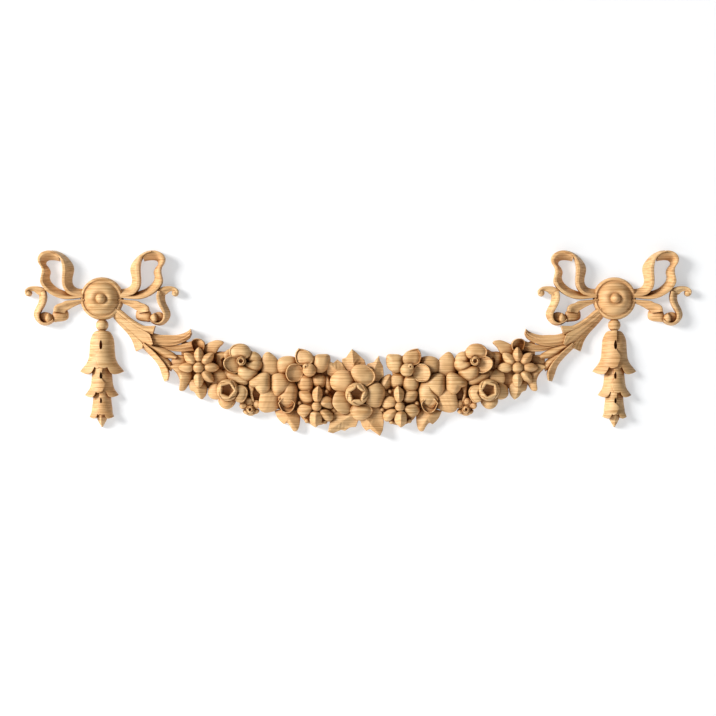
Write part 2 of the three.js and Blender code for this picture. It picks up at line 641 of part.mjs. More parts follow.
const STAR_PETALS = [
  {
    points: [
      [1.7, 21.2], [5.4, 16.5], [5.4, 9], [2.5, 4], [-2, 5], [-4.2, 10], [-3.6, 16],
    ],
    top: PETAL_RELIEF - 1, fall: 2, ridge: 2.5, along: 88, lean: -2, toward: 90,
  },
  {
    points: [
      [4.4, 8], [10, 10.2], [16, 7.6], [18, 2], [14.5, -2.2], [8, -1], [4, 2],
    ],
    top: PETAL_RELIEF - 2, fall: 2.5, ridge: 1.5, along: 20, lean: -2, toward: 20,
  },
  {
    points: [
      [4, -3], [10, -2.5], [16.4, -7.5], [15.4, -14], [10.4, -15], [5, -10], [3, -6],
    ],
    top: PETAL_RELIEF - 3, fall: 2.5, ridge: 1.5, along: -38, lean: -2, toward: -38,
  },
  {
    points: [
      [-5.6, -6], [-1, -4.6], [4, -7], [5, -15], [-1, -21.2], [-6, -17.5], [-7, -11],
    ],
    top: PETAL_RELIEF - 2, fall: 2, ridge: 2.5, along: -92, lean: -2, toward: -90,
  },
  {
    points: [
      [-20, -3], [-16, 1.8], [-9.6, 1.6], [-4, -1.6], [-7.6, -7.6], [-12.8, -11], [-18, -8],
    ],
    top: PETAL_RELIEF - 3, fall: 2.5, ridge: 1.5, along: 199, lean: -2, toward: 199,
  },
  {
    points: [
      [-18, 14.6], [-10.6, 16.2], [-5.6, 13], [-3, 6.5], [-8.6, 3.6], [-15.6, 6.4],
    ],
    top: PETAL_RELIEF - 4, fall: 2.5, ridge: 1, along: 140, lean: -1.5, toward: 139,
  },
];

const MIDDLE_FLOWER = [
  {
    points: [
      [-6, -15], [-2, -10], [6, -9], [14, -11], [17.3, -16], [14.2, -22], [8, -26.3], [1, -26.3],
      [-4.3, -22],
    ],
    top: MIDDLE_RELIEF - 3, fall: 4, lean: -1.5, toward: -85, cup: 1.5, cupToward: 90,
  },
  {
    points: [
      [-23, -4], [-20, 2], [-14, 4.4], [-8, 4], [-4, -4], [-4, -11], [-4, -16], [-8, -19.4],
      [-15, -19.4], [-20.7, -15], [-23.4, -10],
    ],
    top: MIDDLE_RELIEF - 3, fall: 4.5, lean: -1.5, toward: 200,
  },
  {
    points: [
      [11, 8], [19, 12], [26, 9.3], [29.3, 3], [28.3, -5], [24, -12.4], [17, -13.4], [10, -9],
      [8, 0],
    ],
    top: MIDDLE_RELIEF - 1, fall: 4.5, lean: -1.5, toward: 0,
  },
  {
    points: [
      [-25.4, 16], [-20.4, 22.4], [-14, 24.4], [-8, 23.2], [-3, 18.5], [-0.5, 12], [-2, 6], [-6, 2],
      [-16, 2.4], [-23, 5], [-25.9, 10.5],
    ],
    top: MIDDLE_RELIEF - 1, fall: 4.5, lean: -1, toward: 135,
  },
  {
    points: [
      [-5, 23], [-1, 28.2], [5, 29.9], [12, 28.4], [18, 23.5], [19.9, 17], [17.2, 11], [11, 7],
      [4, 5], [0, 11], [-4, 18],
    ],
    top: MIDDLE_RELIEF + 0.5, fall: 3.5, lean: -1, toward: 70, cup: 2.5, cupToward: -30,
  },
];

// Leaves round the left daisy, from its centre, and the leaf between the two upper roses
const DAISY_LEAVES = [
  {
    points: [
      [3, 20], [8, 24], [16, 27.3], [22, 27], [24.4, 24.6], [20, 20], [16, 14], [8, 11], [3, 13],
    ],
    top: LEAF_RELIEF - 1, fall: 1, lean: -2, toward: 220,
  },
  {
    points: [
      [15, 13], [19, 16], [24, 16], [29, 16], [28, 11], [23, 8], [23, 0], [17, 0],
    ],
    top: LEAF_RELIEF - 5,
  },
  {
    points: [
      [15, -3], [22, -2], [29, -10], [22, -17], [15, -18], [12, -10],
    ],
    top: LEAF_RELIEF - 3, fall: 1,
  },
  {
    points: [
      [-10, -14], [-9, -22.5], [-5, -24.5], [-2, -29], [2.3, -32.4], [6, -28.5], [8, -21.5],
      [6, -16], [-2, -12],
    ],
    top: LEAF_RELIEF - 1, fall: 1.5, ridge: 1.5, along: -80,
  },
  {
    points: [
      [-29, 1], [-22, -4], [-19, -12], [-20, -22.5], [-15, -23], [-12, -17.5], [-9, -14], [-7, -7],
      [-10, 0], [-18, 4],
    ],
    top: LEAF_RELIEF, fall: 1.5, ridge: 1, along: -60, lean: -2, toward: 30,
  },
];
const GAP_LEAF = [[-7, -2], [-4, 5], [0, 7.4], [5, 4.6], [10, -1], [10, -14], [2, -18], [-6, -14]];

// The high petals of a flower are rounded, and those that lie low behind them are plain
function petals([x, z], list) {
  const highest = Math.max(...list.map(({ top }) => top));
  const rings = (form) => (form.top < highest - ROUND_BELOW ? PLAIN : ROUNDED);
  return list.map((form) => shell({ x, z, rings: rings(form), ...form }));
}

// A ball with seven pointed petals round it. The eighth place, at the lower left, is empty.
function daisy(x, z) {
  const inner = DAISY_REACH * 0.26;
  const long = DAISY_REACH - inner;
  const rays = [90, 45, 0, -45, -90, 180, 135].map((turn) => petal({
    x: x + Math.cos(radians(turn)) * (inner + long / 2),
    z: z + Math.sin(radians(turn)) * (inner + long / 2),
    turn,
    long,
    wide: DAISY_REACH * 0.5,
    sharp: 0.5,
    top: DAISY_RELIEF,
    fall: 4,
    tilt: -1.5,
    ridge: 1,
    rings: PLAIN,
  }));
  return union([ball(x, z, DAISY_REACH * 0.28, DAISY_RELIEF + 3, PETAL_SIDES), ...rays]);
}

// A bud with a sunk mouth
function bud(x, z, radius, mouth, top, sides = PETAL_SIDES) {
  const profile = [
    [0, top - mouth * 0.7], [mouth * 0.8, top - mouth * 0.6], [mouth, top - 1],
    [(mouth + radius) / 2, top - 0.5], [radius, top - radius * 0.6],
  ];
  return turned(x, z, profile, sides);
}

// A leaf with a notched outline and a raised midrib from root to tip
function leaf(outline, root, tip, relief) {
  const [dx, dz] = [tip[0] - root[0], tip[1] - root[1]];
  const length = Math.hypot(dx, dz);
  const centre = [mix(root[0], tip[0], 0.4), mix(root[1], tip[1], 0.4)];
  const height = (share, px, pz) => {
    const off = Math.abs((px - root[0]) * dz - (pz - root[1]) * dx) / length;
    return relief - Math.min(3.5, off * 0.45);
  };
  return pad(outline, centre, height, PLAIN);
}

// The line that the swag hangs in: a share of the half span, and an offset across the line
function onSwag(share, offset) {
  return [-share * (BOSS_SPACING / 2), BOSS_RISE * Math.abs(share) ** SWAG_BEND + offset];
}

function ground() {
  const steps = 12;
  const shares = Array.from({ length: steps + 1 }, (_, i) => mix(GROUND_END, -GROUND_END, i / steps));
  const upper = shares.map((share) => onSwag(share, GROUND_HALF_WIDTH));
  const lower = shares.map((share) => onSwag(share, -GROUND_HALF_WIDTH));
  return strip(upper, lower, [0, 1], () => GROUND_THICKNESS, steps);
}

const [bossX, bossZ] = [-BOSS_SPACING / 2, BOSS_RISE];
const daisyPlace = onSwag(0.6195, -1);
const around = ([x, z], list) => list.map(([dx, dz]) => [x + dx, z + dz]);

function leftFlowers() {
  const eye = onSwag(0.4534, 21.5);
  const cup = onSwag(0.507, -11.9);
  const small = onSwag(0.42, -24.7);
  const hood = onSwag(0.34, -0.6);
  const round = onSwag(0.1895, 24.5);
  const star = onSwag(0.1614, -11.5);
  const gap = onSwag(0.3517, 27);
  return union([
    ...petals(daisyPlace, DAISY_LEAVES),
    shell({ x: gap[0], z: gap[1], points: GAP_LEAF, top: LEAF_RELIEF + 1, rings: PLAIN }),
    disc(...eye, 14),
    ...petals(eye, ROSE_WITH_EYE),
    bud(...eye, 4.7, 2, PETAL_RELIEF + 3, SMALL_SIDES + 1),
    ...petals(cup, CUP_ROSE),
    bud(...cup, 11, 6, PETAL_RELIEF + 3, BUD_SIDES),
    disc(...small, 9),
    ...petals(small, SMALL_FLOWER),
    bud(...small, 4.4, 2, LEAF_RELIEF + 3, SMALL_SIDES),
    ...petals(hood, HOODED_FLOWER),
    disc(...round, 15),
    ...petals(round, ROSE_WITH_BALL),
    ball(...round, 6.8, PETAL_RELIEF + 4, PETAL_SIDES),
    disc(...star, 19),
    ...petals(star, STAR_PETALS),
    ball(...star, 5, DAISY_RELIEF + 3, PETAL_SIDES),
  ]);
}

function middle() {
  const flower = onSwag(0, 2);
  const centre = [flower[0] - 2.2, flower[1]];
  const top = around(centre, [
    [-14, 24], [-11, 33], [-8, 32], [-6, 39], [-4, 45], [0, 38], [3, 37], [8, 33], [9, 24], [-2, 14],
  ]);
  const upperLeft = around(centre, [
    [-29, 20], [-30, 28], [-27, 33], [-23, 31], [-19, 34.5], [-14, 31], [-10, 24], [-16, 18], [-24, 17],
  ]);
  const right = around(centre, [
    [12, 13], [11, 30], [18, 32], [23, 38.5], [24, 33], [27, 28], [28, 18], [22, 12],
  ]);
  const lowerLeft = around(centre, [
    [-6, -16], [-16, -14], [-21, -18], [-26, -27], [-28, -38], [-23, -39.4], [-15, -36], [-11, -37],
    [-6, -33.5], [0, -33], [4, -22],
  ]);
  const lowerRight = around(centre, [
    [2, -20], [6, -32], [10, -37], [14, -35], [18, -38], [24, -42], [27, -36], [28, -28],
    [20, -22], [12, -18],
  ]);
  return union([
    leaf(top, [centre[0] - 1, centre[1] + 18], [centre[0] - 4, centre[1] + 44], LEAF_RELIEF + 2),
    leaf(right, [centre[0] + 15, centre[1] + 14], [centre[0] + 23, centre[1] + 38], LEAF_RELIEF + 3),
    leaf(lowerLeft, [centre[0] - 6, centre[1] - 22], [centre[0] - 28, centre[1] - 37], LEAF_RELIEF + 2),
    leaf(lowerRight, [centre[0] + 8, centre[1] - 22], [centre[0] + 24, centre[1] - 41], LEAF_RELIEF + 2),
    ...petals(centre, MIDDLE_FLOWER),
    bud(...centre, 11.5, 6.4, MIDDLE_BUD_RELIEF, BUD_SIDES),
    leaf(upperLeft, [centre[0] - 15, centre[1] + 20], [centre[0] - 28, centre[1] + 31], LEAF_RELIEF + 3),
    petal({ x: -30, z: 12.5, turn: 100, long: 17, wide: 7, sharp: 0.5, top: LEAF_RELIEF, rings: PLAIN }),
    petal({
      x: 28, z: 14, turn: 60, long: 18, wide: 12, sharp: 0.5, top: LEAF_RELIEF + 1, ridge: 2, rings: PLAIN,
    }),
    petal({ x: 29, z: -3, turn: -70, long: 19, wide: 12, sharp: 0.4, top: LEAF_RELIEF, rings: PLAIN }),
    petal({ x: -24.5, z: -13.5, turn: -60, long: 9, wide: 7, top: LEAF_RELIEF, rings: PLAIN }),
  ]);
}

function carvedGarland() {
  const left = union([
    bowHalf(bossX, bossZ, -1),
    bowHalf(bossX, bossZ, 1),
    boss(bossX, bossZ),
    drop(bossX, bossZ),
    husk(bossX, bossZ),
    leftFlowers(),
  ]);
  const whole = union([
    left,
    mirrored(left),
    ground(),
    daisy(...daisyPlace),
    daisy(-daisyPlace[0], daisyPlace[1]),
    middle(),
  ]);
  const depth = MIDDLE_BUD_RELIEF * 2;
  const front = new THREE.BoxGeometry(BOSS_SPACING * 2, depth, BOSS_SPACING * 2).translate(0, -depth / 2, 0);
  return asGeometry(whole.intersect(solid(front)));
}

const wood = new THREE.MeshStandardMaterial({ color: 0xdeb27d, roughness: 0.6, metalness: 0 });
const garland = new THREE.Mesh(carvedGarland(), wood);
garland.name = 'carved_garland';

const group = new THREE.Group();
group.add(garland);
export default group;
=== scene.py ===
"""Carved wood garland: a swag of flowers between two ribbon bows, with a bellflower drop under each.

The whole carving is one piece with a flat back. Every form stands on the back plane y = 0 and
rises towards -Y. Forms are lists of points in millimetres until the mesh is made.
"""

import json
import math

import bmesh
import bpy
import numpy as np
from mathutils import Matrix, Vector

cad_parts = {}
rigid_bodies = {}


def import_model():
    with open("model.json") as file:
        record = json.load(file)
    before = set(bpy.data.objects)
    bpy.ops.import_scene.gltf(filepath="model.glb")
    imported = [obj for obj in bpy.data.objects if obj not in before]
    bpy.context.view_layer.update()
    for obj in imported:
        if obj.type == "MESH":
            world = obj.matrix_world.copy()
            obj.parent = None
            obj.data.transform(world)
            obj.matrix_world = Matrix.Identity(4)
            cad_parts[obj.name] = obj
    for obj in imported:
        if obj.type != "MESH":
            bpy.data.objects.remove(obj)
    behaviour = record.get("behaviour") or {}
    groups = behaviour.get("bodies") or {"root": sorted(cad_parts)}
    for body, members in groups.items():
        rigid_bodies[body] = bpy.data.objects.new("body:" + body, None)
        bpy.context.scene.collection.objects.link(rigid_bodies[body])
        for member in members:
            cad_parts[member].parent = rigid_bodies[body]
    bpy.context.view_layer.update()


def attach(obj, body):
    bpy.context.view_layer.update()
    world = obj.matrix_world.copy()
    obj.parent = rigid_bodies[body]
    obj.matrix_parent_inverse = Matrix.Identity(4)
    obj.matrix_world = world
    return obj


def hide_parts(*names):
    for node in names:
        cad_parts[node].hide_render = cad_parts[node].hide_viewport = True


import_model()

# Driving values, as in the solid. Lengths are in millimetres.
BOSS_SPACING = 514.5
BOSS_RISE = 97.6
BOSS_RADIUS = 21.5
RIBBON_RELIEF = 14
HUSK_RELIEF = 12.5
GROUND_THICKNESS = 4.5
GROUND_HALF_WIDTH = 18.5
GROUND_END = 0.69
SWAG_BEND = 2.5
DAISY_PLACE = (0.6195, -1)  # share of the half span, and offset, as on_swag takes them
DAISY_REACH = 20.5
DAISY_RELIEF = 17
PETAL_RELIEF = 19
LEAF_RELIEF = 11
MIDDLE_RELIEF = 22
MIDDLE_BUD_RELIEF = 26

# These differ from the solid by a millimetre or less
RIBBON_LOW_EDGE = 3
RIBBON_BAND = 3.2
BELL_RELIEF = 14

MM = 0.001
BEHIND = 1.5  # forms run this far past the back plane before it is cut flat
CUT_HEIGHT = 40  # cutters start this far in front of the back plane
SHARP_ANGLE = math.radians(38)

# How finely forms are stepped, and how their edges are rounded
OUTLINE_STEP = 1.55
SLOT_STEP = 0.6
CURVE_PARTS = 12
RAIL_PARTS = 4
RIM_ROUND = 0.6
FRONT_ROUND = 0.8
BACK_ROUND = 0.5
ROUNDING_STEPS = np.array([1.0, 0.5, 0.15, 0.0])
NARROWEST = 0.2


# Curves and outlines


def blend(a, b, c, d, parts):
    """The part of a smooth curve that runs from b to c, between a and d."""
    t = (np.arange(parts) / parts)[:, None]
    return 0.5 * (2 * b + (c - a) * t + (2 * a - 5 * b + 4 * c - d) * t**2 + (3 * b - a - 3 * c + d) * t**3)


def spline(points, parts):
    """A smooth curve through the points, with as many parts between each two."""
    p = np.asarray(points, float)
    p = np.vstack([2 * p[0] - p[1], p, 2 * p[-1] - p[-2]])
    spans = [blend(*four, parts) for four in zip(p, p[1:], p[2:], p[3:])]
    return np.vstack(spans + [p[-2:-1]])


def closed(points, step=OUTLINE_STEP):
    """A smooth closed outline through the points. A point given twice is a corner."""
    p = np.asarray(points, float)
    p = np.vstack([p[-1:], p, p[:2]])
    fours = [four for four in zip(p, p[1:], p[2:], p[3:]) if not np.allclose(four[1], four[2])]
    spans = [blend(*four, CURVE_PARTS) for four in fours]
    line = np.vstack(spans + [spans[0][:1]])
    return resample(line, step)[:-1]


def resample(line, step):
    """Points along a line at even steps, as near to the given step as its length allows."""
    lengths = np.hypot(*np.diff(line, axis=0).T)
    walked = np.concatenate([[0], np.cumsum(lengths)])
    n = max(2, round(walked[-1] / step) + 1)
    at = np.linspace(0, walked[-1], n)
    return np.stack([np.interp(at, walked, line[:, 0]), np.interp(at, walked, line[:, 1])], axis=1)


def outline(edges):
    """A closed outline of smooth edges that meet at corners. Each edge starts where the last one ended."""
    return np.vstack([resample(spline(edge, CURVE_PARTS), OUTLINE_STEP)[:-1] for edge in edges])


def rounded(distance, radius):
    """How far a rounded rim has fallen at a distance from its edge."""
    inside = np.clip(distance, 0, radius)
    return radius - np.sqrt(np.maximum(0, radius**2 - (radius - inside) ** 2))


def lerp(a, b, t):
    return a + (b - a) * t


def polar(x, z, turn, out):
    """The place at a distance from x, z along turn, in degrees from +X."""
    return x + out * math.cos(math.radians(turn)), z + out * math.sin(math.radians(turn))


# Forms: each is (points, faces), closed, standing on the back plane


def quads(first, second):
    """Faces between two closed rows of points."""
    n = len(first)
    return [(first[i], first[(i + 1) % n], second[(i + 1) % n], second[i]) for i in range(n)]


def layered(middle, xz, high):
    """A closed form of rings of points with their heights, from a middle point (x, z, height) outwards."""
    n = xz.shape[1]
    points = [(middle[0], -middle[2], middle[1])]
    for ring, levels in zip(xz, high):
        points += [(x, -h, z) for (x, z), h in zip(ring, levels)]
    points += [(x, BEHIND, z) for x, z in xz[-1]] + [(middle[0], BEHIND, middle[1])]
    rows = [list(range(1 + k * n, 1 + (k + 1) * n)) for k in range(len(xz) + 1)]
    faces = [(0, rows[0][(i + 1) % n], rows[0][i]) for i in range(n)]
    for first, second in zip(rows, rows[1:]):
        faces += quads(first, second)
    last = len(points) - 1
    faces += [(last, rows[-1][i], rows[-1][(i + 1) % n]) for i in range(n)]
    return points, faces


def pad(rim, centre, height, rings=8):
    """Fills an outline. height takes x, z and the share of the way out, as arrays."""
    rim = np.asarray(rim, float)
    centre = np.asarray(centre, float)
    spokes = rim - centre
    reach = np.hypot(*spokes.T)
    rim_round = min(RIM_ROUND, 0.35 * reach.min())
    inner = 1 - (1 - np.linspace(0, 1, rings + 1)[1:]) ** 1.5
    out = [t * (reach - rim_round) for t in inner]
    out = np.array(out + [reach - s * rim_round for s in ROUNDING_STEPS[1:]])
    xz = centre + out[..., None] * (spokes / reach[:, None])
    high = height(xz[..., 0], xz[..., 1], out / reach) - rounded(reach - out, rim_round)
    middle = np.atleast_1d(height(centre[:1], centre[1:], np.zeros(1)))[0]
    return layered((*centre, middle), xz, high)


def strip(front, back, height, columns=8):
    """Wood between two rails of matching points. height takes shares along and across, and the width."""
    f = spline(front, RAIL_PARTS)
    b = spline(back, RAIL_PARTS)
    width = np.maximum(np.hypot(*(b - f).T), NARROWEST)
    near = np.minimum(FRONT_ROUND, 0.3 * width)
    far = np.minimum(BACK_ROUND, 0.3 * width)
    inner = np.linspace(0, 1, columns + 1)[1:-1]
    at = [s * near for s in ROUNDING_STEPS[::-1]]
    at += [near + t * (width - near - far) for t in inner]
    at += [width - s * far for s in ROUNDING_STEPS]
    at = np.array(at).T
    across = at / width[:, None]
    along = np.linspace(0, 1, len(f))[:, None]
    high = height(along, across, width[:, None])
    high = high - rounded(at, near[:, None]) - rounded(width[:, None] - at, far[:, None])
    xz = f[:, None] + across[..., None] * (b - f)[:, None]
    rows, cols = across.shape
    points = [(x, -h, z) for (x, z), h in zip(xz.reshape(-1, 2), high.reshape(-1))]
    base = len(points)
    points += [(x, BEHIND, z) for x, z in np.stack([f, b], axis=1).reshape(-1, 2)]
    top = lambda i, j: i * cols + j
    low = lambda i, j: base + 2 * i + j
    faces = []
    for i in range(rows - 1):
        faces += [(top(i, j), top(i + 1, j), top(i + 1, j + 1), top(i, j + 1)) for j in range(cols - 1)]
        faces.append((top(i, 0), low(i, 0), low(i + 1, 0), top(i + 1, 0)))
        faces.append((top(i, cols - 1), top(i + 1, cols - 1), low(i + 1, 1), low(i, 1)))
        faces.append((low(i, 0), low(i, 1), low(i + 1, 1), low(i + 1, 0)))
    for i, order in ((0, 1), (rows - 1, -1)):
        cap = [top(i, j) for j in range(cols)] + [low(i, 1), low(i, 0)]
        faces.append(tuple(cap[::order]))
    return points, faces


def around(x, z, radii, heights, middle):
    """Rings round a point, each with its radii and heights all the way round."""
    n = radii.shape[1]
    angles = np.arange(n) * 2 * math.pi / n
    way = np.stack([np.sin(angles), np.cos(angles)], axis=1)
    return layered((x, z, middle), np.array([x, z]) + radii[..., None] * way, heights)


def turned(x, z, profile, sides):
    """A turned form from (radius, height) pairs that start on its axis."""
    columns = np.array(profile[1:], float).T
    radii, heights = (np.repeat(column[:, None], sides, axis=1) for column in columns)
    return around(x, z, radii, heights, profile[0][1])


def ball(x, z, radius, top, sides=28):
    """The front half of a ball on a straight stem."""
    arc = np.linspace(0, math.pi / 2, 9)
    profile = [(radius * math.sin(a), top - radius * (1 - math.cos(a))) for a in arc]
    return turned(x, z, profile, sides)


def disc(x, z, radius, high):
    """A low disc that petals lie on, with a sloping edge."""
    return turned(x, z, [(0, high), (radius - 2, high), (radius, high - 2)], 32)


# How the top of a petal is shaped, mostly by shares of the way out
FALL_AT_RIM = 1.5
HOLLOW_EDGE = 0.9
HOLLOW_WALL = 0.12
HOLLOW_MIDDLE = 0.85
HOLLOW_SIDE = 0.9
RIM_CREST = 0.86
RIM_FALL = 0.8
RIDGE_SLOPE = 2.2
RIDGE_END = 1.3
VEIN_END = 1.4


def shell(x, z, points, top, fall=2.0, lean=0.0, toward=90, cup=0.0, cup_toward=90, ridge=0.0, along=90,
          veins=0, vein_depth=0.0):
    """A petal or leaf with a drawn outline. Its top falls to the rim, leans towards one side, is hollowed
    behind a raised rim on one side, and has a ridge or veins that run along it."""
    rim = closed([(x + a, z + b) for a, b in points])
    heart = rim.mean(axis=0)
    size = np.hypot(*(rim - heart).T).max()

    def share_of(px, pz, turn):
        angle = math.radians(turn)
        return ((px - heart[0]) * math.cos(angle) + (pz - heart[1]) * math.sin(angle)) / size

    def height(px, pz, share):
        side = share_of(px, pz, along + 90)
        to_rim = share_of(px, pz, cup_toward)
        inside = np.clip((HOLLOW_EDGE - share) / HOLLOW_WALL, 0, 1)
        outside = np.clip((share - RIM_CREST) / (1 - RIM_CREST), 0, 1)
        h = top - FALL_AT_RIM * fall * share**3 + lean * share_of(px, pz, toward)
        h = h - cup * inside * (2 - inside) * np.clip(HOLLOW_MIDDLE + HOLLOW_SIDE * to_rim, 0, 1)
        h = h - RIM_FALL * cup * outside**2 * np.clip(2 * to_rim, 0, 1)
        crest = 1 - np.minimum(1, np.abs(side) * RIDGE_SLOPE)
        h = h + ridge * crest * np.clip(RIDGE_END - share, 0, 1)
        waves = 0.5 - 0.5 * np.cos(2 * math.pi * veins * side)
        return h - vein_depth * waves * np.clip(VEIN_END - share, 0, 1)

    return pad(rim, heart, height)


def egg(x, z, turn, long, wide, sharp=0.0):
    """Points of an egg outline, from its middle, whose tip points along turn."""
    cosine, sine = polar(0, 0, turn, 1)
    points = []
    for t in np.arange(12) * math.pi / 6:
        out = long / 2 * math.cos(t)
        off = wide / 2 * math.sin(t) * lerp(1, 1.3 * abs(math.sin(t / 2)), sharp)
        points.append((x + out * cosine - off * sine, z + out * sine + off * cosine))
    return points[:1] + points if sharp else points


def pit(x, z, long, wide, floor):
    """A cutter for an upright slot with a pointed top, from the front down to its floor."""
    ring = closed(egg(x, z, 90, long, wide, sharp=0.5), SLOT_STEP)
    points, faces = layered((x, z, CUT_HEIGHT), ring[None], np.full((1, len(ring)), CUT_HEIGHT))
    return [(a, min(b, -floor), c) for a, b, c in points], faces


def petal(x, z, turn, long, wide, top, sharp=0.0, **shape):
    """An egg-shaped petal whose tip points along turn."""
    return shell(x, z, egg(0, 0, turn, long, wide, sharp), top, along=turn, **shape)


def petals(centre, items):
    return [shell(*centre, **item) for item in items]


def mirrored(forms, about=0):
    """The forms as seen in an upright mirror at x = about."""
    flipped = []
    for points, faces in forms:
        flipped.append(([(2 * about - x, y, z) for x, y, z in points], [face[::-1] for face in faces]))
    return flipped


# Bow: rails and outlines are out to the left and up, from the middle of the boss

RIBBON_HOLLOW = 0.9
CURL_BALL = (73.6, 5.4)
LOWER_LOOP_FRONT = [
    (18, 0.9), (32, -0.6), (40.5, 0), (47.5, 2.5), (54.5, 7), (59.3, 12.5), (61.2, 18), (59.6, 26),
    (60, 31), (63, 36), (63.4, 41), (60, 45.7), (53.5, 48), (47, 46.9), (42, 43),
]
LOWER_LOOP_BACK = [
    (20, 6), (31.5, 6), (38, 8), (44, 10.3), (49, 14.2), (51.8, 17.8), (52.7, 22), (51.8, 26.5),
    (53.5, 31), (56, 34), (56, 36.5), (54, 38.2), (50.5, 38.7), (46, 38.3), (42.5, 37.5),
]
UPPER_LOOP_FRONT = [
    (50.5, 46.5), (46, 45), (42.3, 42), (39.8, 37.5), (38.7, 32), (38.7, 26), (39.2, 19), (38.7, 13),
    (36.2, 7.8), (31, 3.6), (20, 1.2),
]
UPPER_LOOP_BACK = [
    (50, 48.6), (44.5, 47.6), (38, 44.2), (32.3, 38.6), (28.9, 33), (28.4, 27.5), (30, 20), (29.4, 14.6),
    (26.5, 11.3), (22, 10), (14, 10),
]
FIRST_FOLD_TOP = [
    (17, -0.5), (28, -1.6), (35.5, -2.3), (39.5, -4.3), (44, -5.8), (47, -8.5), (47.8, -13),
]
FIRST_FOLD_BOTTOM = [
    (17, -3.5), (24, -6), (29, -8.3), (32.5, -10.4), (34.6, -11.6), (36, -12.6), (37, -14.5),
]
TAIL_FRONT = [
    (48.5, -20.5), (51, -22.6), (54.5, -24), (58, -23.8), (60.8, -21.5), (61.8, -18.5), (61.6, -15),
    (60, -11.5), (57.5, -7), (55.8, -2.5), (55.2, 2.4), (56.2, 7.5),
]
TAIL_BACK = [
    (48, -22.8), (51.5, -25.4), (55.5, -26.9), (60.5, -26.6), (65, -23.5), (68, -19), (68.6, -14.5),
    (66.8, -9.5), (64.5, -5), (63.2, -0.6), (63.4, 4), (64.5, 6),
]
FOLD_LOBE = [
    (34.8, -12.2), (33.8, -15.6), (33.9, -18.8), (35.5, -21.2), (39.5, -22.6), (44.3, -23.1),
    (48.2, -23.4), (49.5, -20), (49.6, -16), (48, -12.5), (43, -11.6), (38.5, -11.8),
]
FOLD_ROLL = [
    (53, -14.2), (53, -14.2), (49.6, -16.6), (48.4, -20), (49.5, -23.6), (53, -24.8), (56, -22.4),
    (56, -17.5),
]
FOLD_HOLLOW = [(54, -14), (60, -14), (62, -19), (59, -24), (53, -24), (52, -18)]
CURL_TOP = [(56, 9), (61.5, 11.8), (68, 12.4), (73.2, 11.4), (76.6, 8.4), (76.8, 5)]
CURL_BOTTOM = [(58, 2), (64.2, 4.2), (67, 6.6), (69.6, 7.6), (71.6, 6.6), (72, 5)]


def bow_half(x, z):
    """The half of a bow that opens to the left, round a boss at x, z."""
    place = lambda rail: [(x - out, z + up) for out, up in rail]
    fold = lambda points, **shape: shell(x, z, [(-out, up) for out, up in points], **shape)

    def ribbon(front, back, start, end, low=RIBBON_LOW_EDGE):
        """A ribbon whose front band goes from one height to another, and that slopes back to low."""
        def height(along, across, width):
            band = np.minimum(RIBBON_BAND / width, 0.4)
            slope = np.clip((across - band) / (1 - band), 0, 1)
            return lerp(lerp(start, end, along), low, slope) - RIBBON_HOLLOW * np.sin(math.pi * slope)
        return strip(place(front), place(back), height)

    return [
        ribbon(LOWER_LOOP_FRONT, LOWER_LOOP_BACK, RIBBON_RELIEF - 4, RIBBON_RELIEF),
        ribbon(UPPER_LOOP_FRONT, UPPER_LOOP_BACK, RIBBON_RELIEF + 3, RIBBON_RELIEF - 4),
        ribbon(FIRST_FOLD_TOP, FIRST_FOLD_BOTTOM, RIBBON_RELIEF - 4, RIBBON_RELIEF - 2, RIBBON_RELIEF - 6),
        fold(FOLD_HOLLOW, top=7, fall=0.5),
        fold(FOLD_LOBE, top=7.5, lean=2, toward=200),
        fold(FOLD_ROLL, top=12, fall=2.5, lean=-1.5, toward=0),
        ribbon(TAIL_FRONT, TAIL_BACK, RIBBON_RELIEF - 3, RIBBON_RELIEF - 3),
        ribbon(CURL_TOP, CURL_BOTTOM, RIBBON_RELIEF - 5, RIBBON_RELIEF - 5, RIBBON_RELIEF - 7),
        ball(x - CURL_BALL[0], z + CURL_BALL[1], radius=3.2, top=RIBBON_RELIEF - 5),
    ]


# Boss: radius and height, from the bead in its middle to its rounded rim

BOSS_PROFILE = [
    (0, 20), (1, 19.9), (2, 19.5), (3, 18.8), (3.8, 17.9), (4.5, 16.6), (5, 15), (5.3, 14.5), (6, 14.7),
    (7, 15.2), (8.2, 15.5), (9.4, 15.4), (10.8, 14.9), (12.2, 14), (13.6, 12.8), (15, 11.2), (16.2, 9.6),
    (17.1, 8.5), (17.8, 8.4), (18.5, 9), (19.2, 9.3), (19.9, 9.1), (20.5, 8.5), (21, 7.5), (21.4, 5.8),
    (21.5, 4),
]


def boss(x, z):
    drawn_radius = BOSS_PROFILE[-1][0]
    return [turned(x, z, [(r * BOSS_RADIUS / drawn_radius, h) for r, h in BOSS_PROFILE], 96)]


# Bellflower drop

# lap is 1 where, on the left half, the right petal lies over the left one.
# shoulder and neck are shares of waist and relief.
BELLS = [
    dict(top=-31.6, long=43, lip=22, waist=12.4, lap=1, relief=BELL_RELIEF, shoulder=0.45, neck=0.5),
    dict(top=-66, long=32, lip=16.6, waist=10.2, lap=-1, relief=BELL_RELIEF - 1, shoulder=0.9, neck=0.82),
    dict(top=-93, long=26.5, lip=11.8, waist=9.4, lap=1, relief=BELL_RELIEF - 1.5, shoulder=0.9, neck=0.82),
]
BELL_DOWN = [0, 0.05, 0.12, 0.24, 0.62, 0.75, 0.86, 1]
BELL_WIDTH = [0.35, 0.62, 0.8, 0.94, 1.05, 1.2, 1.5, 1.85]
BELL_HEART = (0.42, 0.55)
BELL_SIDE_HEIGHT = 2.5
LAP_HEIGHT = 2

# Slots between the petals: shares of the bell's length and waist, and the height of the floor
SLOT_DOWN = 0.34
SLOT_LONG = 0.22
SLOT_WIDE = 0.27
SLOT_FLOOR = 7.5


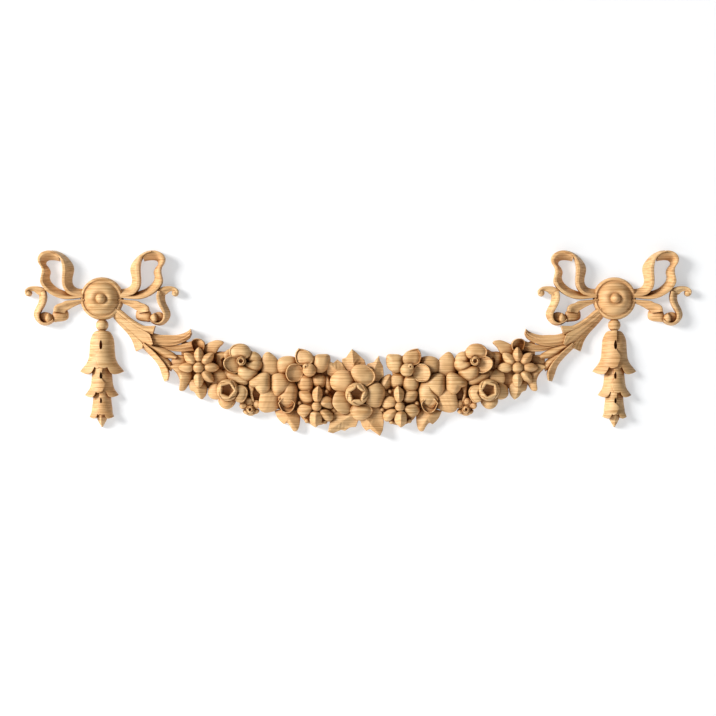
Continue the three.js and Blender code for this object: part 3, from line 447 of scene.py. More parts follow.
def bell_petal(x, z, bell, side):
    """One side of a bell: it wraps round to the middle and ends in a turned-out lip. Its outline is drawn
    out from the middle in millimetres, and up from its top in shares of its length."""
    long, lip, waist, shoulder = bell["long"], bell["lip"], bell["waist"], bell["shoulder"]
    laps = side * bell["lap"] > 0
    outer = [
        (-2, 0), (shoulder * waist, -0.02), (lerp(shoulder, 1, 0.5) * waist, -0.08), (0.95 * waist, -0.24),
        (1.02 * waist, -0.5), (1.09 * waist, -0.66), (lerp(waist, lip, 0.38), -0.79),
        (lerp(waist, lip, 0.7), -0.88), (lip, -0.965),
    ]
    lower = [
        (lip, -0.965), (0.8 * lip, -1.01), (0.58 * lip, -1.03), (0.42 * lip, -0.98), (0.3 * lip, -0.86),
    ]
    middle = [(0.3 * lip, -0.86), (0.17 * lip, -0.89), (0, -0.87), (-0.1 * lip, -0.85)]
    inner = [(-0.1 * lip, -0.85), (-0.44 * waist, -0.62), (-0.26 * waist, -0.52), (-0.5, -0.42)]
    if not laps:
        middle = [(0.3 * lip, -0.86), (0.2 * lip, -0.89), (0.1 * lip, -0.88), (0.04 * lip, -0.84)]
        inner = [(0.04 * lip, -0.84), (-0.05 * waist, -0.62), (-0.05 * waist, -0.52), (-0.5, -0.42)]
    seam = [(-0.5, -0.42), (-1.5, -0.2), (-2, 0)]
    place = lambda edge: [(x + side * out, z + up * long) for out, up in edge]
    rim = outline(place(edge) for edge in (outer, lower, middle, inner, seam))
    centre = (x + side * waist * BELL_HEART[0], z - long * BELL_HEART[1])

    def height(px, pz, share):
        down = (z - pz) / long
        half_width = waist * np.maximum(shoulder, np.interp(down, BELL_DOWN, BELL_WIDTH))
        off = np.minimum(np.abs(px - x) / half_width, 1)
        swell = np.interp(down, [0, 0.3, 0.8, 1], [bell["neck"], 0.88, 0.92, 1.02]) * bell["relief"]
        return lerp(BELL_SIDE_HEIGHT, swell, (1 - 0.97 * off**2) ** 0.75) + LAP_HEIGHT * laps

    return pad(rim, centre, height, rings=10)


def slots(x, z):
    """Cutters for the upright slots where the two petals of each bell meet."""
    cuts = []
    for bell in BELLS:
        long = bell["long"]
        slot_z = z + bell["top"] - SLOT_DOWN * long
        cuts.append(pit(x, slot_z, SLOT_LONG * long, SLOT_WIDE * bell["waist"], SLOT_FLOOR))
    return cuts


# The rest of the drop, by how far it lies below the boss
BEAD_DROP = 26.6
STEM_DROP = 70
STEM_LONG = 104
LAST_BUD_DROP = 120.2
LAST_BUD = [
    (0, 12), (5, 9), (5.4, 3), (4.2, -2), (0, -9.5), (0, -9.5), (-4.2, -2), (-5.4, 3), (-5, 9),
]


def drop(x, z):
    """A bead, a stem behind the bells, the last bud and three bells, below a boss at x, z."""
    forms = [
        ball(x, z - BEAD_DROP, radius=6.2, top=9.5),
        petal(x, z - STEM_DROP, turn=90, long=STEM_LONG, wide=7, top=6.5, fall=1),
        shell(x, z - LAST_BUD_DROP, LAST_BUD, top=8.5, fall=3, ridge=2.5, lean=-1.5, toward=-90),
    ]
    for bell in BELLS:
        forms += [bell_petal(x, z + bell["top"], bell, side) for side in (1, -1)]
    return forms


# Husk of leaves between the bow and the flowers: places are from the middle of the boss

FLUTE_DEPTH = 1.1
GROOVE_DEPTH = 0.5
HUSK_BLADES = [
    dict(front=[(46, -33), (58.3, -36.1), (66.3, -36.4), (73.3, -36.6), (80, -35.4), (86, -33),
                (89.2, -30.4)],
         back=[(48, -46), (58, -46.9), (66, -47.6), (74.5, -46.6), (82, -43.6), (88, -40), (90.4, -35.4)],
         relief=10, edge=7.5, rise=3, flutes=3),
    dict(front=[(50, -45), (60, -45.8), (70, -46.8), (80, -45.6), (90, -42.6)],
         back=[(54, -48), (62, -50), (70, -52.4), (80, -53.4), (93, -52.6)],
         relief=8, edge=6, rise=1, flutes=2),
    dict(front=[(46, -44), (55, -47.2), (63.3, -50), (71.3, -54), (76.4, -58)],
         back=[(45, -48.5), (51, -51.5), (57, -56), (64, -59.5), (73.5, -60.8)],
         relief=10, edge=7, rise=1, flutes=0),
    dict(front=[(46, -49), (57, -54.6), (64.3, -58.6), (69, -63), (71, -68.2)],
         back=[(42, -50), (51, -57.5), (58.5, -64), (64, -69.5), (69.5, -73)],
         relief=9, edge=6, rise=0, flutes=0),
    dict(front=[(43, -44.5), (53.3, -53.4), (59.6, -60.2), (64.4, -66.5), (67.8, -74.5), (66.6, -82.2)],
         back=[(38.5, -47.6), (46.5, -55.2), (52.5, -61.5), (57.4, -68.5), (60.2, -76.5), (62.6, -83.2)],
         relief=12, edge=5, rise=0, flutes=0, slant=True),
    dict(front=[(60, -62), (70, -66), (80, -69.5), (86, -76), (89, -82), (84, -91)],
         back=[(60, -64), (68, -68.6), (74.6, -74.6), (78, -81.6), (78, -88), (79.4, -92.4)],
         relief=8, edge=5, rise=2, flutes=2),
]
SHEATH_ROLL_TOP = [
    (12, -6), (20.7, -12.4), (26.7, -17.6), (33.7, -22.6), (41.7, -26.9), (47.7, -27.4), (54, -27.2),
]
SHEATH_ROLL_BOTTOM = [
    (9, -11), (17, -17.6), (24, -22.4), (31, -27.4), (38.5, -31.6), (45, -34.6), (51.4, -36),
]
SHEATH_TOP = [
    (10, -9), (19, -17), (27, -22.6), (35, -28), (43, -32), (48.4, -35.4), (50.6, -40), (52, -45.4),
]
SHEATH_BOTTOM = [
    (8, -14), (15, -21.6), (22, -28.6), (28, -34.6), (33.6, -40), (38, -43.6), (43, -46.4),
    (49.4, -47.8),
]
SHEATH_LOBE_TOP = [
    (14, -18), (22, -26.6), (30, -34), (36, -39.6), (40, -43.6), (41.6, -46), (41.4, -49.6),
]
SHEATH_LOBE_BOTTOM = [
    (11, -19), (17.7, -26.8), (23.7, -33), (28.5, -39), (31.4, -44.6), (33.2, -50), (34.4, -53),
]
DAISY_LEAF = [(72, -57), (83, -58), (86, -68), (82, -77), (75, -72), (70, -66)]
ROLLED_TIP = [
    (90, -43), (93.6, -40.2), (99, -40.4), (103.4, -44.4), (103, -51), (99, -53), (93, -53), (90.6, -48),
]


def husk(x, z):
    """Leaves that lead from a boss at x, z to the flowers."""
    place = lambda rail: [(x + out, z + up) for out, up in rail]
    blade = lambda front, back, height: strip(place(front), place(back), height, columns=10)
    flute = lambda count, across: 0.5 - 0.5 * np.cos(2 * math.pi * count * across)

    def fluted(front, back, relief, edge, rise, flutes, slant=False):
        """A blade that arches over, or slants back from its front rail, and rises at its tip."""
        def height(along, across, width):
            section = np.cos(0.5 * math.pi * across) if slant else np.sin(math.pi * across)
            return lerp(edge, relief, section) + rise * along**4 - FLUTE_DEPTH * flute(flutes, across)
        return blade(front, back, height)

    def roll(along, across, width):
        arch = 2 * np.sin(math.pi * across) - 2 * across
        return lerp(8, HUSK_RELIEF, along) + arch - GROOVE_DEPTH * flute(3, across)

    def sheath(along, across, width):
        return lerp(8.5, HUSK_RELIEF + 1.5, along) - 4.5 * across**2 - GROOVE_DEPTH * flute(3, across)

    def lobe(along, across, width):
        return lerp(6.5, HUSK_RELIEF - 1, along) - 4 * across - GROOVE_DEPTH * flute(3, across)

    return [fluted(**item) for item in HUSK_BLADES] + [
        blade(SHEATH_ROLL_TOP, SHEATH_ROLL_BOTTOM, roll),
        blade(SHEATH_TOP, SHEATH_BOTTOM, sheath),
        blade(SHEATH_LOBE_TOP, SHEATH_LOBE_BOTTOM, lobe),
        shell(x, z, DAISY_LEAF, top=7, fall=1),
        shell(x, z, ROLLED_TIP, top=13, fall=1, cup=8, cup_toward=215),
    ]


# Flowers: petals are drawn as seen on the left half, from the flower's centre

ROSE_WITH_EYE = [
    dict(points=[(-15, -12.5), (-9, -11), (-1, -13), (5, -18), (6.5, -22.5), (1, -24.5), (-6.5, -22.5),
                 (-13, -18.5)],
         top=PETAL_RELIEF - 5, lean=1.5, toward=-40),
    dict(points=[(-16, -8), (-8, -10), (-2, -14), (-8, -18), (-15, -20), (-21, -16), (-22, -11)],
         top=PETAL_RELIEF - 10),
    dict(points=[(-18, 8), (-12, 12), (-8, 6), (-12, 2), (-17, 2)],
         top=PETAL_RELIEF - 10, fall=1),
    dict(points=[(7, 5), (9.5, 9), (13, 9.4), (17.4, 6.6), (19.8, 2), (18, -3), (12, -3), (7, 0)],
         top=PETAL_RELIEF - 5, lean=-1, toward=0),
    dict(points=[(4, -2), (9.5, -0.3), (13, 1.7), (18, 1.4), (20.7, -2), (19.8, -7), (15.5, -10.6),
                 (9.5, -9.4), (4.5, -5.5)],
         top=PETAL_RELIEF - 2, fall=3, lean=-1.5, toward=0),
    dict(points=[(-4.5, 4.5), (-10.5, 5), (-16, 2.5), (-18, -1.4), (-16.7, -6.4), (-12.7, -10.4),
                 (-7.5, -12.4), (-2.5, -10.7), (-0.5, -5.5), (-2, -1)],
         top=PETAL_RELIEF - 1, fall=1, cup=3, cup_toward=200, lean=4.8, toward=190),
    dict(points=[(-3, -6), (2.5, -5), (9.5, -7.4), (16, -10), (15.7, -14), (11.7, -18.6), (5.5, -20.4),
                 (0, -18.4), (-3.7, -13.7), (-3.9, -9)],
         top=PETAL_RELIEF, fall=4, lean=-1.5, toward=-60),
    dict(points=[(-10.5, 3.6), (-12.7, 9), (-11.5, 13), (-7.5, 16.4), (-1.5, 17.6), (4.5, 16), (8.7, 11),
                 (9, 6), (5.6, 2.3), (1.5, 3), (-3.5, 3)],
         top=PETAL_RELIEF + 0.5, fall=3.5, cup=2, cup_toward=200, lean=-1.5, toward=60),
]
CUP_ROSE = [
    dict(points=[(12, -9), (16, -8), (19, -11), (17, -15), (12, -15)],
         top=PETAL_RELIEF - 9),
    dict(points=[(-10, 6), (-15.5, 6), (-19.5, 2), (-20.2, -4), (-17, -8.4), (-10.5, -9.6), (-5, -6)],
         top=PETAL_RELIEF - 7, lean=1.5, toward=20),
    dict(points=[(-8.5, -7), (-3.5, -8.4), (2.5, -9), (8, -9), (6.6, -14), (2.4, -18.4), (-2.5, -19.2),
                 (-7, -16.8), (-9.7, -12)],
         top=PETAL_RELIEF - 5, fall=3, cup=1.5, cup_toward=60, lean=-1, toward=-90),
    dict(points=[(7.5, 4.4), (12.5, 4.9), (17.7, 3.7), (20.2, -1), (19, -7), (15.5, -12.2), (11, -12.5),
                 (7, -9.5), (10, -3), (9, 1)],
         top=PETAL_RELIEF + 1, fall=3, cup=1.5, cup_toward=0),
]
HOODED_FLOWER = [
    dict(points=[(3.5, -21), (3.5, -21), (6, -27), (9, -31), (13, -34.6), (13, -34.6), (16, -33),
                 (19, -36), (22, -41), (24, -41.6), (27, -40), (29, -32), (28, -22), (18, -18)],
         top=LEAF_RELIEF - 2, fall=1.5, ridge=2, along=-55),
    dict(points=[(15, 14), (23, 9), (26.7, 2), (26.4, -6), (24, -15), (16, -17), (9, -12), (7, -7),
                 (12, 0)],
         top=PETAL_RELIEF - 2, fall=4, lean=-1, toward=-10),
    dict(points=[(-20, 6), (-17, 3), (-13, 0), (-10, -4), (-12, -10), (-16, -12), (-19, -8)],
         top=LEAF_RELIEF - 4, fall=0.5),
    dict(points=[(-22, 7), (-16, 5), (-16.8, 0), (-17.8, -4), (-17.2, -9), (-16, -12), (-18.5, -12),
                 (-20.4, -8), (-21.4, -2)],
         top=PETAL_RELIEF - 6),
    dict(points=[(-9, -1), (-3, 2), (5, 0), (9.4, -6), (9, -15), (5, -20.4), (-3, -22.7), (-9, -21.7),
                 (-12.4, -17), (-11.6, -9)],
         top=PETAL_RELIEF - 4, fall=2.5, lean=3, toward=130, along=70, veins=3, vein_depth=0.2),
    dict(points=[(7.5, -13), (7.5, -13), (9.5, -10), (14, -6), (19, -8), (24.4, -13), (22.4, -20),
                 (17, -23.3), (11.2, -21)],
         top=PETAL_RELIEF - 2, fall=0.5, cup=4.5, cup_toward=-80),
    dict(points=[(8, -8), (16, -5), (23, -8), (22, -15), (16, -18.6), (11, -16)],
         top=PETAL_RELIEF - 2, fall=1.5, cup=4, cup_toward=-80),
    dict(points=[(1, 14), (6, 16.7), (13, 16.2), (19, 12.4), (21, 6), (17.4, 0), (10, -5.6), (5, -6.7),
                 (1.3, -2), (-0.2, 5)],
         top=PETAL_RELIEF + 1, fall=5, lean=-1, toward=-30),
    dict(points=[(-15, 14), (-9, 17.2), (-3, 17.2), (-0.3, 12), (-0.3, 2), (-4, -3), (-9, -4.7),
                 (-13.5, -1), (-15.5, 2.5), (-15.5, 2.5), (-20.5, 4), (-21.7, 8), (-19, 11.5)],
         top=PETAL_RELIEF + 2, fall=4.5, lean=-0.5, toward=180),
]
ROSE_WITH_BALL = [
    dict(points=[(-32.7, 2), (-31.7, 10), (-25.5, 13.7), (-16.5, 13.5), (-12, 9), (-12, 4), (-18, 2),
                 (-23, -4), (-29.5, -4.5)],
         top=PETAL_RELIEF - 5, fall=3),
    dict(points=[(2.5, -6), (8.5, -3.4), (14.5, -5), (17.2, -10), (14.7, -17), (8.5, -18.3), (3, -14)],
         top=PETAL_RELIEF - 5, fall=3, lean=-1, toward=-45),
    dict(points=[(-9.5, -7), (-4.5, -5), (0.5, -6), (3.4, -11), (3.2, -18), (-0.5, -21.3), (-7.5, -21.3),
                 (-11.4, -17), (-11.7, -12)],
         top=PETAL_RELIEF - 3, fall=3, lean=-1.5, toward=-90),
    dict(points=[(5, 13.6), (8, 15.6), (13, 16), (18.5, 15.8), (20.6, 13), (20.8, 8), (19.2, 2),
                 (13.5, -2.4), (7, -2), (3.5, 4), (4, 10)],
         top=PETAL_RELIEF - 1, fall=4, lean=-1.5, toward=20),
    dict(points=[(-20.5, 4.5), (-16.5, 6.2), (-10.5, 5.8), (-6.5, 2), (-5.5, -4), (-9.5, -10.7),
                 (-15.5, -11.8), (-20.7, -10.7), (-23.5, -5), (-23, 0)],
         top=PETAL_RELIEF - 0.5, fall=0.5, cup=3, cup_toward=180, lean=5, toward=180),
    dict(points=[(-11, 21.7), (-11, 21.7), (-5.5, 20.8), (0.5, 18), (4.2, 13), (4, 8), (0, 5),
                 (-6.5, 4.5), (-12, 6), (-14.4, 12), (-13.7, 18)],
         top=PETAL_RELIEF + 1, fall=3, cup=3, cup_toward=190, lean=-1.5, toward=70),
]
SMALL_FLOWER = [
    dict(points=[(-11, 4), (-8, 7.6), (-3.5, 6.5), (-2, 2.5), (-5, 0.4), (-9, 0.6)],
         top=LEAF_RELIEF + 2, cup=2, cup_toward=0),
    dict(points=[(-5, 8), (-3, 11.4), (1, 11.6), (3, 8.4), (2, 4.4), (-3, 4)],
         top=LEAF_RELIEF + 2.5, cup=2, cup_toward=-90),
    dict(points=[(2.4, 8), (6, 9.6), (9.6, 7.4), (9.6, 3), (6.4, 0.6), (3, 3)],
         top=LEAF_RELIEF + 2, cup=2, cup_toward=200),
    dict(points=[(3, -0.2), (7, 0.6), (8.8, -1.8), (6.6, -4.4), (3, -4.6), (1.6, -2.6)],
         top=LEAF_RELIEF + 1, cup=2, cup_toward=150),
    dict(points=[(-7.4, -0.6), (-3, -0.2), (0.4, -2.4), (-1, -4.8), (-4.6, -5), (-7, -3)],
         top=LEAF_RELIEF + 1, cup=2, cup_toward=60),
]
STAR_PETALS = [
    dict(points=[(1.7, 21.2), (1.7, 21.2), (5.4, 16.5), (5.4, 9), (2.5, 4), (-2, 5), (-4.2, 10),
                 (-3.6, 16)],
         top=PETAL_RELIEF - 1, fall=1.6, ridge=2.5, along=88, lean=-2, toward=90),
    dict(points=[(4.4, 8), (10, 10.2), (16, 7.6), (18, 2), (14.5, -2.2), (8, -1), (4, 2)],
         top=PETAL_RELIEF - 2, fall=1.8, ridge=1.5, along=20, lean=-2, toward=20),
    dict(points=[(4, -3), (10, -2.5), (16.4, -7.5), (15.4, -14), (10.4, -15), (5, -10), (3, -6)],
         top=PETAL_RELIEF - 3, fall=1.8, ridge=1.5, along=-38, lean=-2, toward=-38),
    dict(points=[(-5.6, -6), (-1, -4.6), (4, -7), (5, -15), (-1, -21.2), (-1, -21.2), (-6, -17.5),
                 (-7, -11)],
         top=PETAL_RELIEF - 2, fall=1.6, ridge=2.5, along=-92, lean=-2, toward=-90),
    dict(points=[(-20, -3), (-16, 1.8), (-9.6, 1.6), (-4, -1.6), (-7.6, -7.6), (-12.8, -11), (-18, -8)],
         top=PETAL_RELIEF - 3, fall=1.8, ridge=1.5, along=199, lean=-2, toward=199),
    dict(points=[(-18, 14.6), (-10.6, 16.2), (-5.6, 13), (-3, 6.5), (-8.6, 3.6), (-15.6, 6.4)],
         top=PETAL_RELIEF - 4, fall=1.8, ridge=1, along=140, lean=-1.5, toward=139),
]
BERRY_TURNS = [56, -9, -62, -124, 170, 118]
MIDDLE_FLOWER = [
    dict(points=[(-6, -15), (-2, -10), (6, -9), (14, -11), (17.3, -16), (14.2, -22), (8, -26.3),
                 (1, -26.3), (-4.3, -22)],
         top=MIDDLE_RELIEF - 3, fall=4, lean=-1.5, toward=-85, cup=1.5, cup_toward=90),
    dict(points=[(-23, -4), (-20, 2), (-14, 4.4), (-8, 4), (-4, -4), (-4, -11), (-4, -16), (-8, -19.4),
                 (-15, -19.4), (-20.7, -15), (-23.4, -10)],
         top=MIDDLE_RELIEF - 5, lean=4, toward=190),
    dict(points=[(11, 8), (19, 12), (26, 9.3), (29.3, 3), (28.3, -5), (24, -12.4), (17, -13.4), (10, -9),
                 (8, 0)],
         top=MIDDLE_RELIEF - 1, fall=4.5, lean=-1.5, toward=0),
    dict(points=[(-25.4, 16), (-20.4, 22.4), (-14, 24.4), (-8, 23.2), (-3, 18.5), (-0.5, 12), (-2, 6),
                 (-6, 2), (-16, 2.4), (-23, 5), (-25.9, 10.5)],
         top=MIDDLE_RELIEF - 1, fall=4.5, lean=-1, toward=135),
    dict(points=[(-5, 23), (-1, 28.2), (5, 29.9), (12, 28.4), (18, 23.5), (19.9, 17), (17.2, 11),
                 (11, 7), (4, 5), (0, 11), (-4, 18)],
         top=MIDDLE_RELIEF + 0.5, fall=3.5, lean=-1, toward=70, cup=2.5, cup_toward=-30),
]

# Daisies: shares are of the reach
DAISY_TURNS = [90, 45, 0, -45, -90, 180, 135]
DAISY_BALL_SHARE = 0.28
DAISY_HEART_SHARE = 0.26
DAISY_WIDTH_SHARE = 0.5


def daisy(x, z):
    """A ball with seven pointed petals round it. The eighth place, at the lower left, is empty."""
    inner = DAISY_REACH * DAISY_HEART_SHARE
    long = DAISY_REACH - inner
    wide = DAISY_REACH * DAISY_WIDTH_SHARE
    form = dict(long=long, wide=wide, top=DAISY_RELIEF, sharp=0.5, ridge=1.5, lean=-1.5)
    forms = [ball(x, z, DAISY_REACH * DAISY_BALL_SHARE, DAISY_RELIEF + 3)]
    for turn in DAISY_TURNS:
        forms.append(petal(*polar(x, z, turn, inner + long / 2), turn, toward=turn, **form))
    return forms


# Buds: wraps are steps that wind round the flank, and slits are cut across the lip
BUD_SIDES = 72
LIP_SHARE = 0.16
FLANK_BEND = 2.2
WRAP_TWIST = 0.9
WRAP_RISE = 0.12
WRAP_HEIGHT = 1.6
SLIT_DEPTH = 2.4
SLIT_SHARPNESS = 9
SLIT_RINGS = range(2, 10)
SLIT_END = 12


def bud(x, z, radius, mouth, top, corners=0, turn=0, depth=5, flank=5, wraps=0, slits=()):
    """A bud whose petals wrap round a sunk mouth. The mouth may have corners, and slits in its lip."""
    angles = np.arange(BUD_SIDES) * 2 * math.pi / BUD_SIDES
    edge = np.full(BUD_SIDES, mouth, float)
    if corners:
        sector = 2 * math.pi / corners
        off = (angles - math.radians(turn)) % sector - sector / 2
        edge = mouth * math.cos(sector / 2) / np.cos(off)
    lip = LIP_SHARE * radius
    radii = [0.4 * edge, 0.85 * edge, 0.96 * edge, edge, edge + 0.25 * lip, edge + 0.6 * lip, edge + lip]
    heights = [top - depth, top - 0.95 * depth, top - 0.5 * depth, top - 0.8, top - 0.2, top, top]
    for t in np.linspace(0, 1, 11)[1:]:
        radii.append(lerp(edge + lip, radius, t))
        fallen = top - flank * t**FLANK_BEND
        if wraps:
            wound = (angles * wraps / (2 * math.pi) + WRAP_TWIST * t) % 1
            step = np.where(wound < WRAP_RISE, 1 - wound / WRAP_RISE, (wound - WRAP_RISE) / (1 - WRAP_RISE))
            fallen = fallen - WRAP_HEIGHT * step * min(1, 3 * t)
        heights.append(fallen)
    heights = [np.full(BUD_SIDES, h, float) for h in heights]
    for slit in slits:
        away = (angles - math.radians(slit) + math.pi) % (2 * math.pi) - math.pi
        cut = SLIT_DEPTH * np.exp(-((away * SLIT_SHARPNESS) ** 2))
        for i in SLIT_RINGS:
            heights[i] = heights[i] - cut * (1 - i / SLIT_END)
    return around(x, z, np.array(radii), np.array(heights), top - depth)


# Notched leaves: they slope down from the midrib, and small veins run out from it
LEAF_SLOPE = 0.5
LEAF_DROP = 3.5
VEIN_DEPTH = 0.5
VEIN_RATE = 1.3


def leaf(x, z, points, root, tip, relief):
    """A leaf with straight edges between its points and a midrib from root to tip, all from x, z."""
    corners = [(x + a, z + b) for a, b in points]
    root, tip = np.array([root, tip], float) + (x, z)
    way = tip - root
    length = np.hypot(*way)

    def height(px, pz, share):
        off = np.abs((px - root[0]) * way[1] - (pz - root[1]) * way[0]) / length
        along = ((px - root[0]) * way[0] + (pz - root[1]) * way[1]) / length
        veins = 0.5 + 0.5 * np.cos(along * VEIN_RATE - off * VEIN_RATE)
        slope = np.minimum(LEAF_DROP, off * LEAF_SLOPE)
        return relief - slope - VEIN_DEPTH * veins * np.clip(RIDGE_END - share, 0, 1)

    return pad(outline(zip(corners, corners[1:] + corners[:1])), root + 0.4 * way, height)


def on_swag(share, offset):
    """A place by its share of the half span, and its offset across the line that the swag hangs in."""
    return (-share * BOSS_SPACING / 2, BOSS_RISE * abs(share) ** SWAG_BEND + offset)


def ground():
    """The low wood behind the flowers, along the line that the swag hangs in."""
    shares = np.linspace(GROUND_END, -GROUND_END, 13)
    upper = [on_swag(share, GROUND_HALF_WIDTH) for share in shares]
    lower = [on_swag(share, -GROUND_HALF_WIDTH) for share in shares]
    return [strip(upper, lower, lambda along, across, width: GROUND_THICKNESS, columns=2)]


# Leaves round the left daisy, from its centre
DAISY_LEAVES = [
    dict(points=[(3, 20), (8, 24), (16, 27.3), (22, 27), (24.4, 24.6), (20, 20), (16, 14), (8, 11),
                 (3, 13)],
         top=LEAF_RELIEF - 1, fall=1, lean=-2, toward=220),
    dict(points=[(15, 13), (19, 16), (24, 16), (29, 16), (28, 11), (23, 8), (23, 0), (17, 0)],
         top=LEAF_RELIEF - 3),
    dict(points=[(15, -3), (22, -2), (29, -10), (22, -17), (15, -18), (12, -10)],
         top=LEAF_RELIEF - 1, fall=1),
    dict(points=[(-10, -14), (-9, -22.5), (-5, -24.5), (-2, -29), (2.3, -32.4), (2.3, -32.4), (6, -28.5),
                 (8, -21.5), (6, -16), (-2, -12)],
         top=LEAF_RELIEF - 1, fall=1.5, ridge=1.5, along=-80),
    dict(points=[(-29, 1), (-22, -4), (-19, -12), (-20, -22.5), (-15, -23), (-12, -17.5), (-9, -14),
                 (-7, -7), (-10, 0), (-18, 4)],
         top=LEAF_RELIEF, fall=1.5, ridge=1, along=-60, lean=-2, toward=30),
]
GAP_LEAF = [(-7, -1), (-5, 6), (-1, 10), (3, 8.6), (10, 1), (10.5, -14), (2, -18), (-6, -14)]

FLOWER_BED = 9  # height of discs under flowers
BERRY_RING = 17.5
BERRY_RADIUS = 2.4
BALL_BEAD = (-3.4, 3.2)  # the bead's place on the ball rose, from its middle


def left_flowers():
    """The flowers between the left daisy and the middle one, with the leaves round the daisy."""
    eye = on_swag(0.4534, 21.5)
    cup = on_swag(0.507, -11.9)
    small = on_swag(0.42, -24.7)
    hood = on_swag(0.34, -0.6)
    ball_rose = on_swag(0.1895, 24.5)
    star = on_swag(0.1614, -11.5)
    gap = on_swag(0.3517, 27)
    forms = petals(on_swag(*DAISY_PLACE), DAISY_LEAVES)
    forms.append(shell(*gap, GAP_LEAF, LEAF_RELIEF + 1))
    forms.append(disc(*eye, radius=14, high=FLOWER_BED))
    forms += petals(eye, ROSE_WITH_EYE)
    forms.append(bud(*eye, radius=4.7, mouth=2, top=PETAL_RELIEF + 3, depth=3, flank=2.5, wraps=2))
    forms += petals(cup, CUP_ROSE)
    forms.append(bud(*cup, radius=11, mouth=6.6, top=PETAL_RELIEF + 3, corners=5, turn=22, depth=8,
                     wraps=4))
    forms.append(disc(*small, radius=6.5, high=FLOWER_BED - 1))
    forms.append(bud(*small, radius=4.2, mouth=1.8, top=LEAF_RELIEF + 3, corners=4, turn=30, depth=3,
                     flank=3, wraps=2))
    forms += petals(small, SMALL_FLOWER)
    forms += petals(hood, HOODED_FLOWER)
    forms.append(disc(*ball_rose, radius=15, high=FLOWER_BED))
    forms.append(ball(*ball_rose, radius=6.8, top=PETAL_RELIEF + 4))
    forms += petals(ball_rose, ROSE_WITH_BALL)
    bead = (ball_rose[0] + BALL_BEAD[0], ball_rose[1] + BALL_BEAD[1])
    forms.append(bud(*bead, radius=3.2, mouth=0.8, top=PETAL_RELIEF + 3.4, depth=2, flank=2))
    forms.append(disc(*star, radius=19, high=FLOWER_BED))
    forms.append(ball(*star, radius=5, top=DAISY_RELIEF + 3))
    forms += petals(star, STAR_PETALS)
    for turn in BERRY_TURNS:
        forms.append(ball(*polar(*star, turn, BERRY_RING), BERRY_RADIUS, DAISY_RELIEF - 5, sides=20))
    return forms


# Where the middle flower lies, from the middle of the swag
MIDDLE_LEFT = 2.2
MIDDLE_UP = 2

# Leaves of the middle flower, from its centre, each with the root and tip of its midrib
MIDDLE_LEAVES = [
    dict(points=[(-14, 24), (-14, 35), (-10, 36.5), (-7, 41), (-4, 45), (0.5, 41.5), (4, 38), (8.5, 34),
                 (10, 29), (9, 24), (-2, 14)],
         root=(-1, 18), tip=(-4, 44), relief=LEAF_RELIEF + 2),
    dict(points=[(12, 13), (11, 30), (18, 32), (23, 38.5), (24, 33), (27, 28), (28, 18), (22, 12)],
         root=(15, 14), tip=(23, 38), relief=LEAF_RELIEF + 3),
    dict(points=[(-6, -16), (-16, -14), (-21, -18), (-26, -27), (-28, -38), (-23, -39.4), (-15, -36),
                 (-11, -37), (-6, -33.5), (0, -33), (4, -22)],
         root=(-6, -22), tip=(-28, -37), relief=LEAF_RELIEF + 2),
    dict(points=[(2, -20), (6, -32), (10, -37), (14, -35), (18, -38), (24, -42), (27, -36), (28, -28),
                 (27, -20), (24, -13), (12, -13)],
         root=(8, -22), tip=(24, -41), relief=LEAF_RELIEF + 2),
]

# Small leaves round the middle flower, from the middle of the swag
SIDE_LEAF = dict(
    points=[(-31, 22), (-32, 30), (-29, 35), (-25, 33), (-21, 36.5), (-16, 33), (-12, 26), (-18, 20),
            (-26, 19)],
    root=(-17, 22), tip=(-30, 33), relief=LEAF_RELIEF + 3,
)
SMALL_LEAVES = [
    dict(x=-30, z=12.5, turn=100, long=17, wide=7, top=LEAF_RELIEF, sharp=0.5),
    dict(x=28, z=14, turn=60, long=18, wide=12, top=LEAF_RELIEF + 1, sharp=0.5, ridge=2),
    dict(x=29, z=-3, turn=-70, long=19, wide=12, top=LEAF_RELIEF, sharp=0.4),
    dict(x=-24.5, z=-13.5, turn=-60, long=9, wide=7, top=LEAF_RELIEF),
    dict(x=-31, z=21, turn=90, long=18, wide=13, top=LEAF_RELIEF - 4, fall=1),
]


def middle():
    """The large middle flower, with its bud and leaves."""
    x, z = on_swag(0, MIDDLE_UP)
    x -= MIDDLE_LEFT
    forms = [leaf(x, z, **item) for item in MIDDLE_LEAVES]
    forms.append(bud(x + 0.8, z, radius=11.5, mouth=6.6, top=MIDDLE_BUD_RELIEF, corners=5, depth=9, wraps=5,
                     slits=(0, 72, 144, 216, 288)))
    forms.append(leaf(0, 0, **SIDE_LEAF))
    forms += [petal(**item) for item in SMALL_LEAVES]
    return forms + petals((x, z), MIDDLE_FLOWER)


# The carving as one mesh


def block(low, high):
    """A plain block between two corners."""
    xs, ys, zs = zip(low, high)
    points = [(x, y, z) for x in xs for y in ys for z in zs]
    faces = [(0, 1, 3, 2), (4, 6, 7, 5), (0, 4, 5, 1), (2, 3, 7, 6), (0, 2, 6, 4), (1, 5, 7, 3)]
    return points, faces


def mesh_object(name, form):
    points, faces = form
    mesh = bpy.data.meshes.new(name)
    mesh.from_pydata([(x * MM, y * MM, z * MM) for x, y, z in points], [], faces)
    work = bmesh.new()
    work.from_mesh(mesh)
    if work.calc_volume(signed=True) < 0:
        bmesh.ops.reverse_faces(work, faces=work.faces)
    work.to_mesh(mesh)
    work.free()
    return bpy.data.objects.new(name, mesh)


def boolean(target, operation, **operand):
    modifier = target.modifiers.new(operation, "BOOLEAN")
    modifier.operation = operation
    modifier.solver = "MANIFOLD"
    for key, value in operand.items():
        setattr(modifier, key, value)


def helper_group(name, forms):
    group = bpy.data.collections.new(name)
    bpy.context.scene.collection.children.link(group)
    for i, form in enumerate(forms):
        group.objects.link(mesh_object(f"{name}_{i}", form))
    return group


